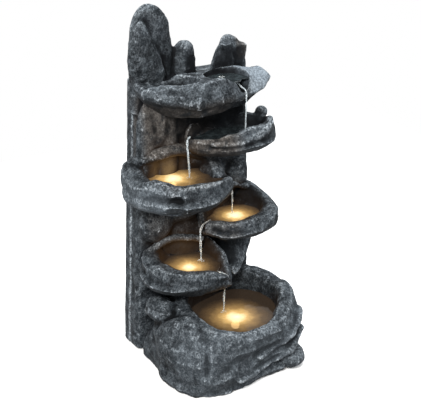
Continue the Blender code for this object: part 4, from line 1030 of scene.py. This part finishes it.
# The camera's aim, its turn from the front and its lift in degrees, and its distance.
CAMERA_AIM = (-0.0322, -0.0278, 0.49)
CAMERA_TURN, CAMERA_LIFT, CAMERA_FAR = -30, 24, 2.6
LENS, SENSOR = 85.26, 36.0


def aim(thing, target):
    thing.rotation_euler = (Vector(target) - thing.location).to_track_quat("-Z", "Y").to_euler()


def add_light(name, kind, place, power, tone):
    """A light at a place, and its data for what only its kind has."""
    data = bpy.data.lights.new(name, kind)
    data.energy = power
    data.color = tone
    lamp = bpy.data.objects.new(name, data)
    lamp.location = place
    bpy.context.scene.collection.objects.link(lamp)
    return lamp, data


def make_floor():
    bm = bmesh.new()
    bmesh.ops.create_grid(bm, x_segments=1, y_segments=1, size=FLOOR_HALF)
    floor = new_piece("floor", mesh_from(bm, "floor"))
    paint = Finish("pale_floor", Roughness=0.9)
    cloud = paint.graph.noise(paint.place, 3.0)
    paint.set("Base Color", paint.graph.mix(cloud, colour(0.76, 0.76, 0.76), colour(0.80, 0.80, 0.80)))
    floor.data.materials.append(paint.material)


def make_camera():
    data = bpy.data.cameras.new("camera")
    data.sensor_width = SENSOR
    data.lens = LENS
    data.clip_start = 0.02
    camera = bpy.data.objects.new("camera", data)
    turn, lift = math.radians(CAMERA_TURN), math.radians(CAMERA_LIFT)
    way = Vector((math.sin(turn) * math.cos(lift), -math.cos(turn) * math.cos(lift), math.sin(lift)))
    camera.location = Vector(CAMERA_AIM) + CAMERA_FAR * way
    bpy.context.scene.collection.objects.link(camera)
    aim(camera, CAMERA_AIM)
    bpy.context.scene.camera = camera


def make_studio(lamps):
    """White world, pale floor, three large lights, a small lamp over each pod, and the camera."""
    scene = bpy.context.scene
    scene.view_settings.view_transform = "Standard"
    world = bpy.data.worlds.new("studio")
    world.use_nodes = True
    shade = world.node_tree.nodes["Background"]
    shade.inputs["Color"].default_value = colour(1.0, 1.0, 1.0)
    shade.inputs["Strength"].default_value = 1.0
    scene.world = world
    make_floor()
    for name, (place, size, power, tone) in AREAS.items():
        lamp, data = add_light(name, "AREA", place, power, tone)
        data.size = size
        aim(lamp, LIT_MIDDLE)
    for k, (place, _, strength) in enumerate(lamps):
        above = place + Vector((0, 0, BEAM_LIFT))
        _, data = add_light("pod_light_%d" % k, "POINT", above, POD_POWER * strength, POD_TONE)
        data.shadow_soft_size = POD_SIZE
    make_camera()


# ---------------------------------------------------------------- everything

def lamp_places():
    """Where each pod's light leaves the water, how far it reaches and how strong it is."""
    levels = {lamp: level for _, _, level, lamp in POOLS if lamp}
    return [(Vector((*BEAMS[label][0], levels[label] + BEAM_LIFT)), BEAMS[label][1], BEAM_STRENGTH)
            for label in LAMPS]


def joined_tree(names):
    """One search tree over several nodes."""
    verts, faces = [], []
    for name in names:
        mesh = NODES[name].data
        base = len(verts)
        verts += [v.co.copy() for v in mesh.vertices]
        faces += [tuple(base + i for i in p.vertices) for p in mesh.polygons]
    return BVHTree.FromPolygons(verts, faces)


def main():
    stone = stone_finish()
    lamps = lamp_places()
    sight = joined_tree(ROCKS)
    tree = weathering_tree()
    paint_hardware(stone)
    for node in ROCKS:
        piece, edges, calm, voxel = make_casting(node, tree, stone)
        paint_guides(piece, edges, calm, voxel, lamps, sight)
        dress(piece, stone, ROOT, "cast_rock", node)
    make_water(sight)
    make_studio(lamps)


main()
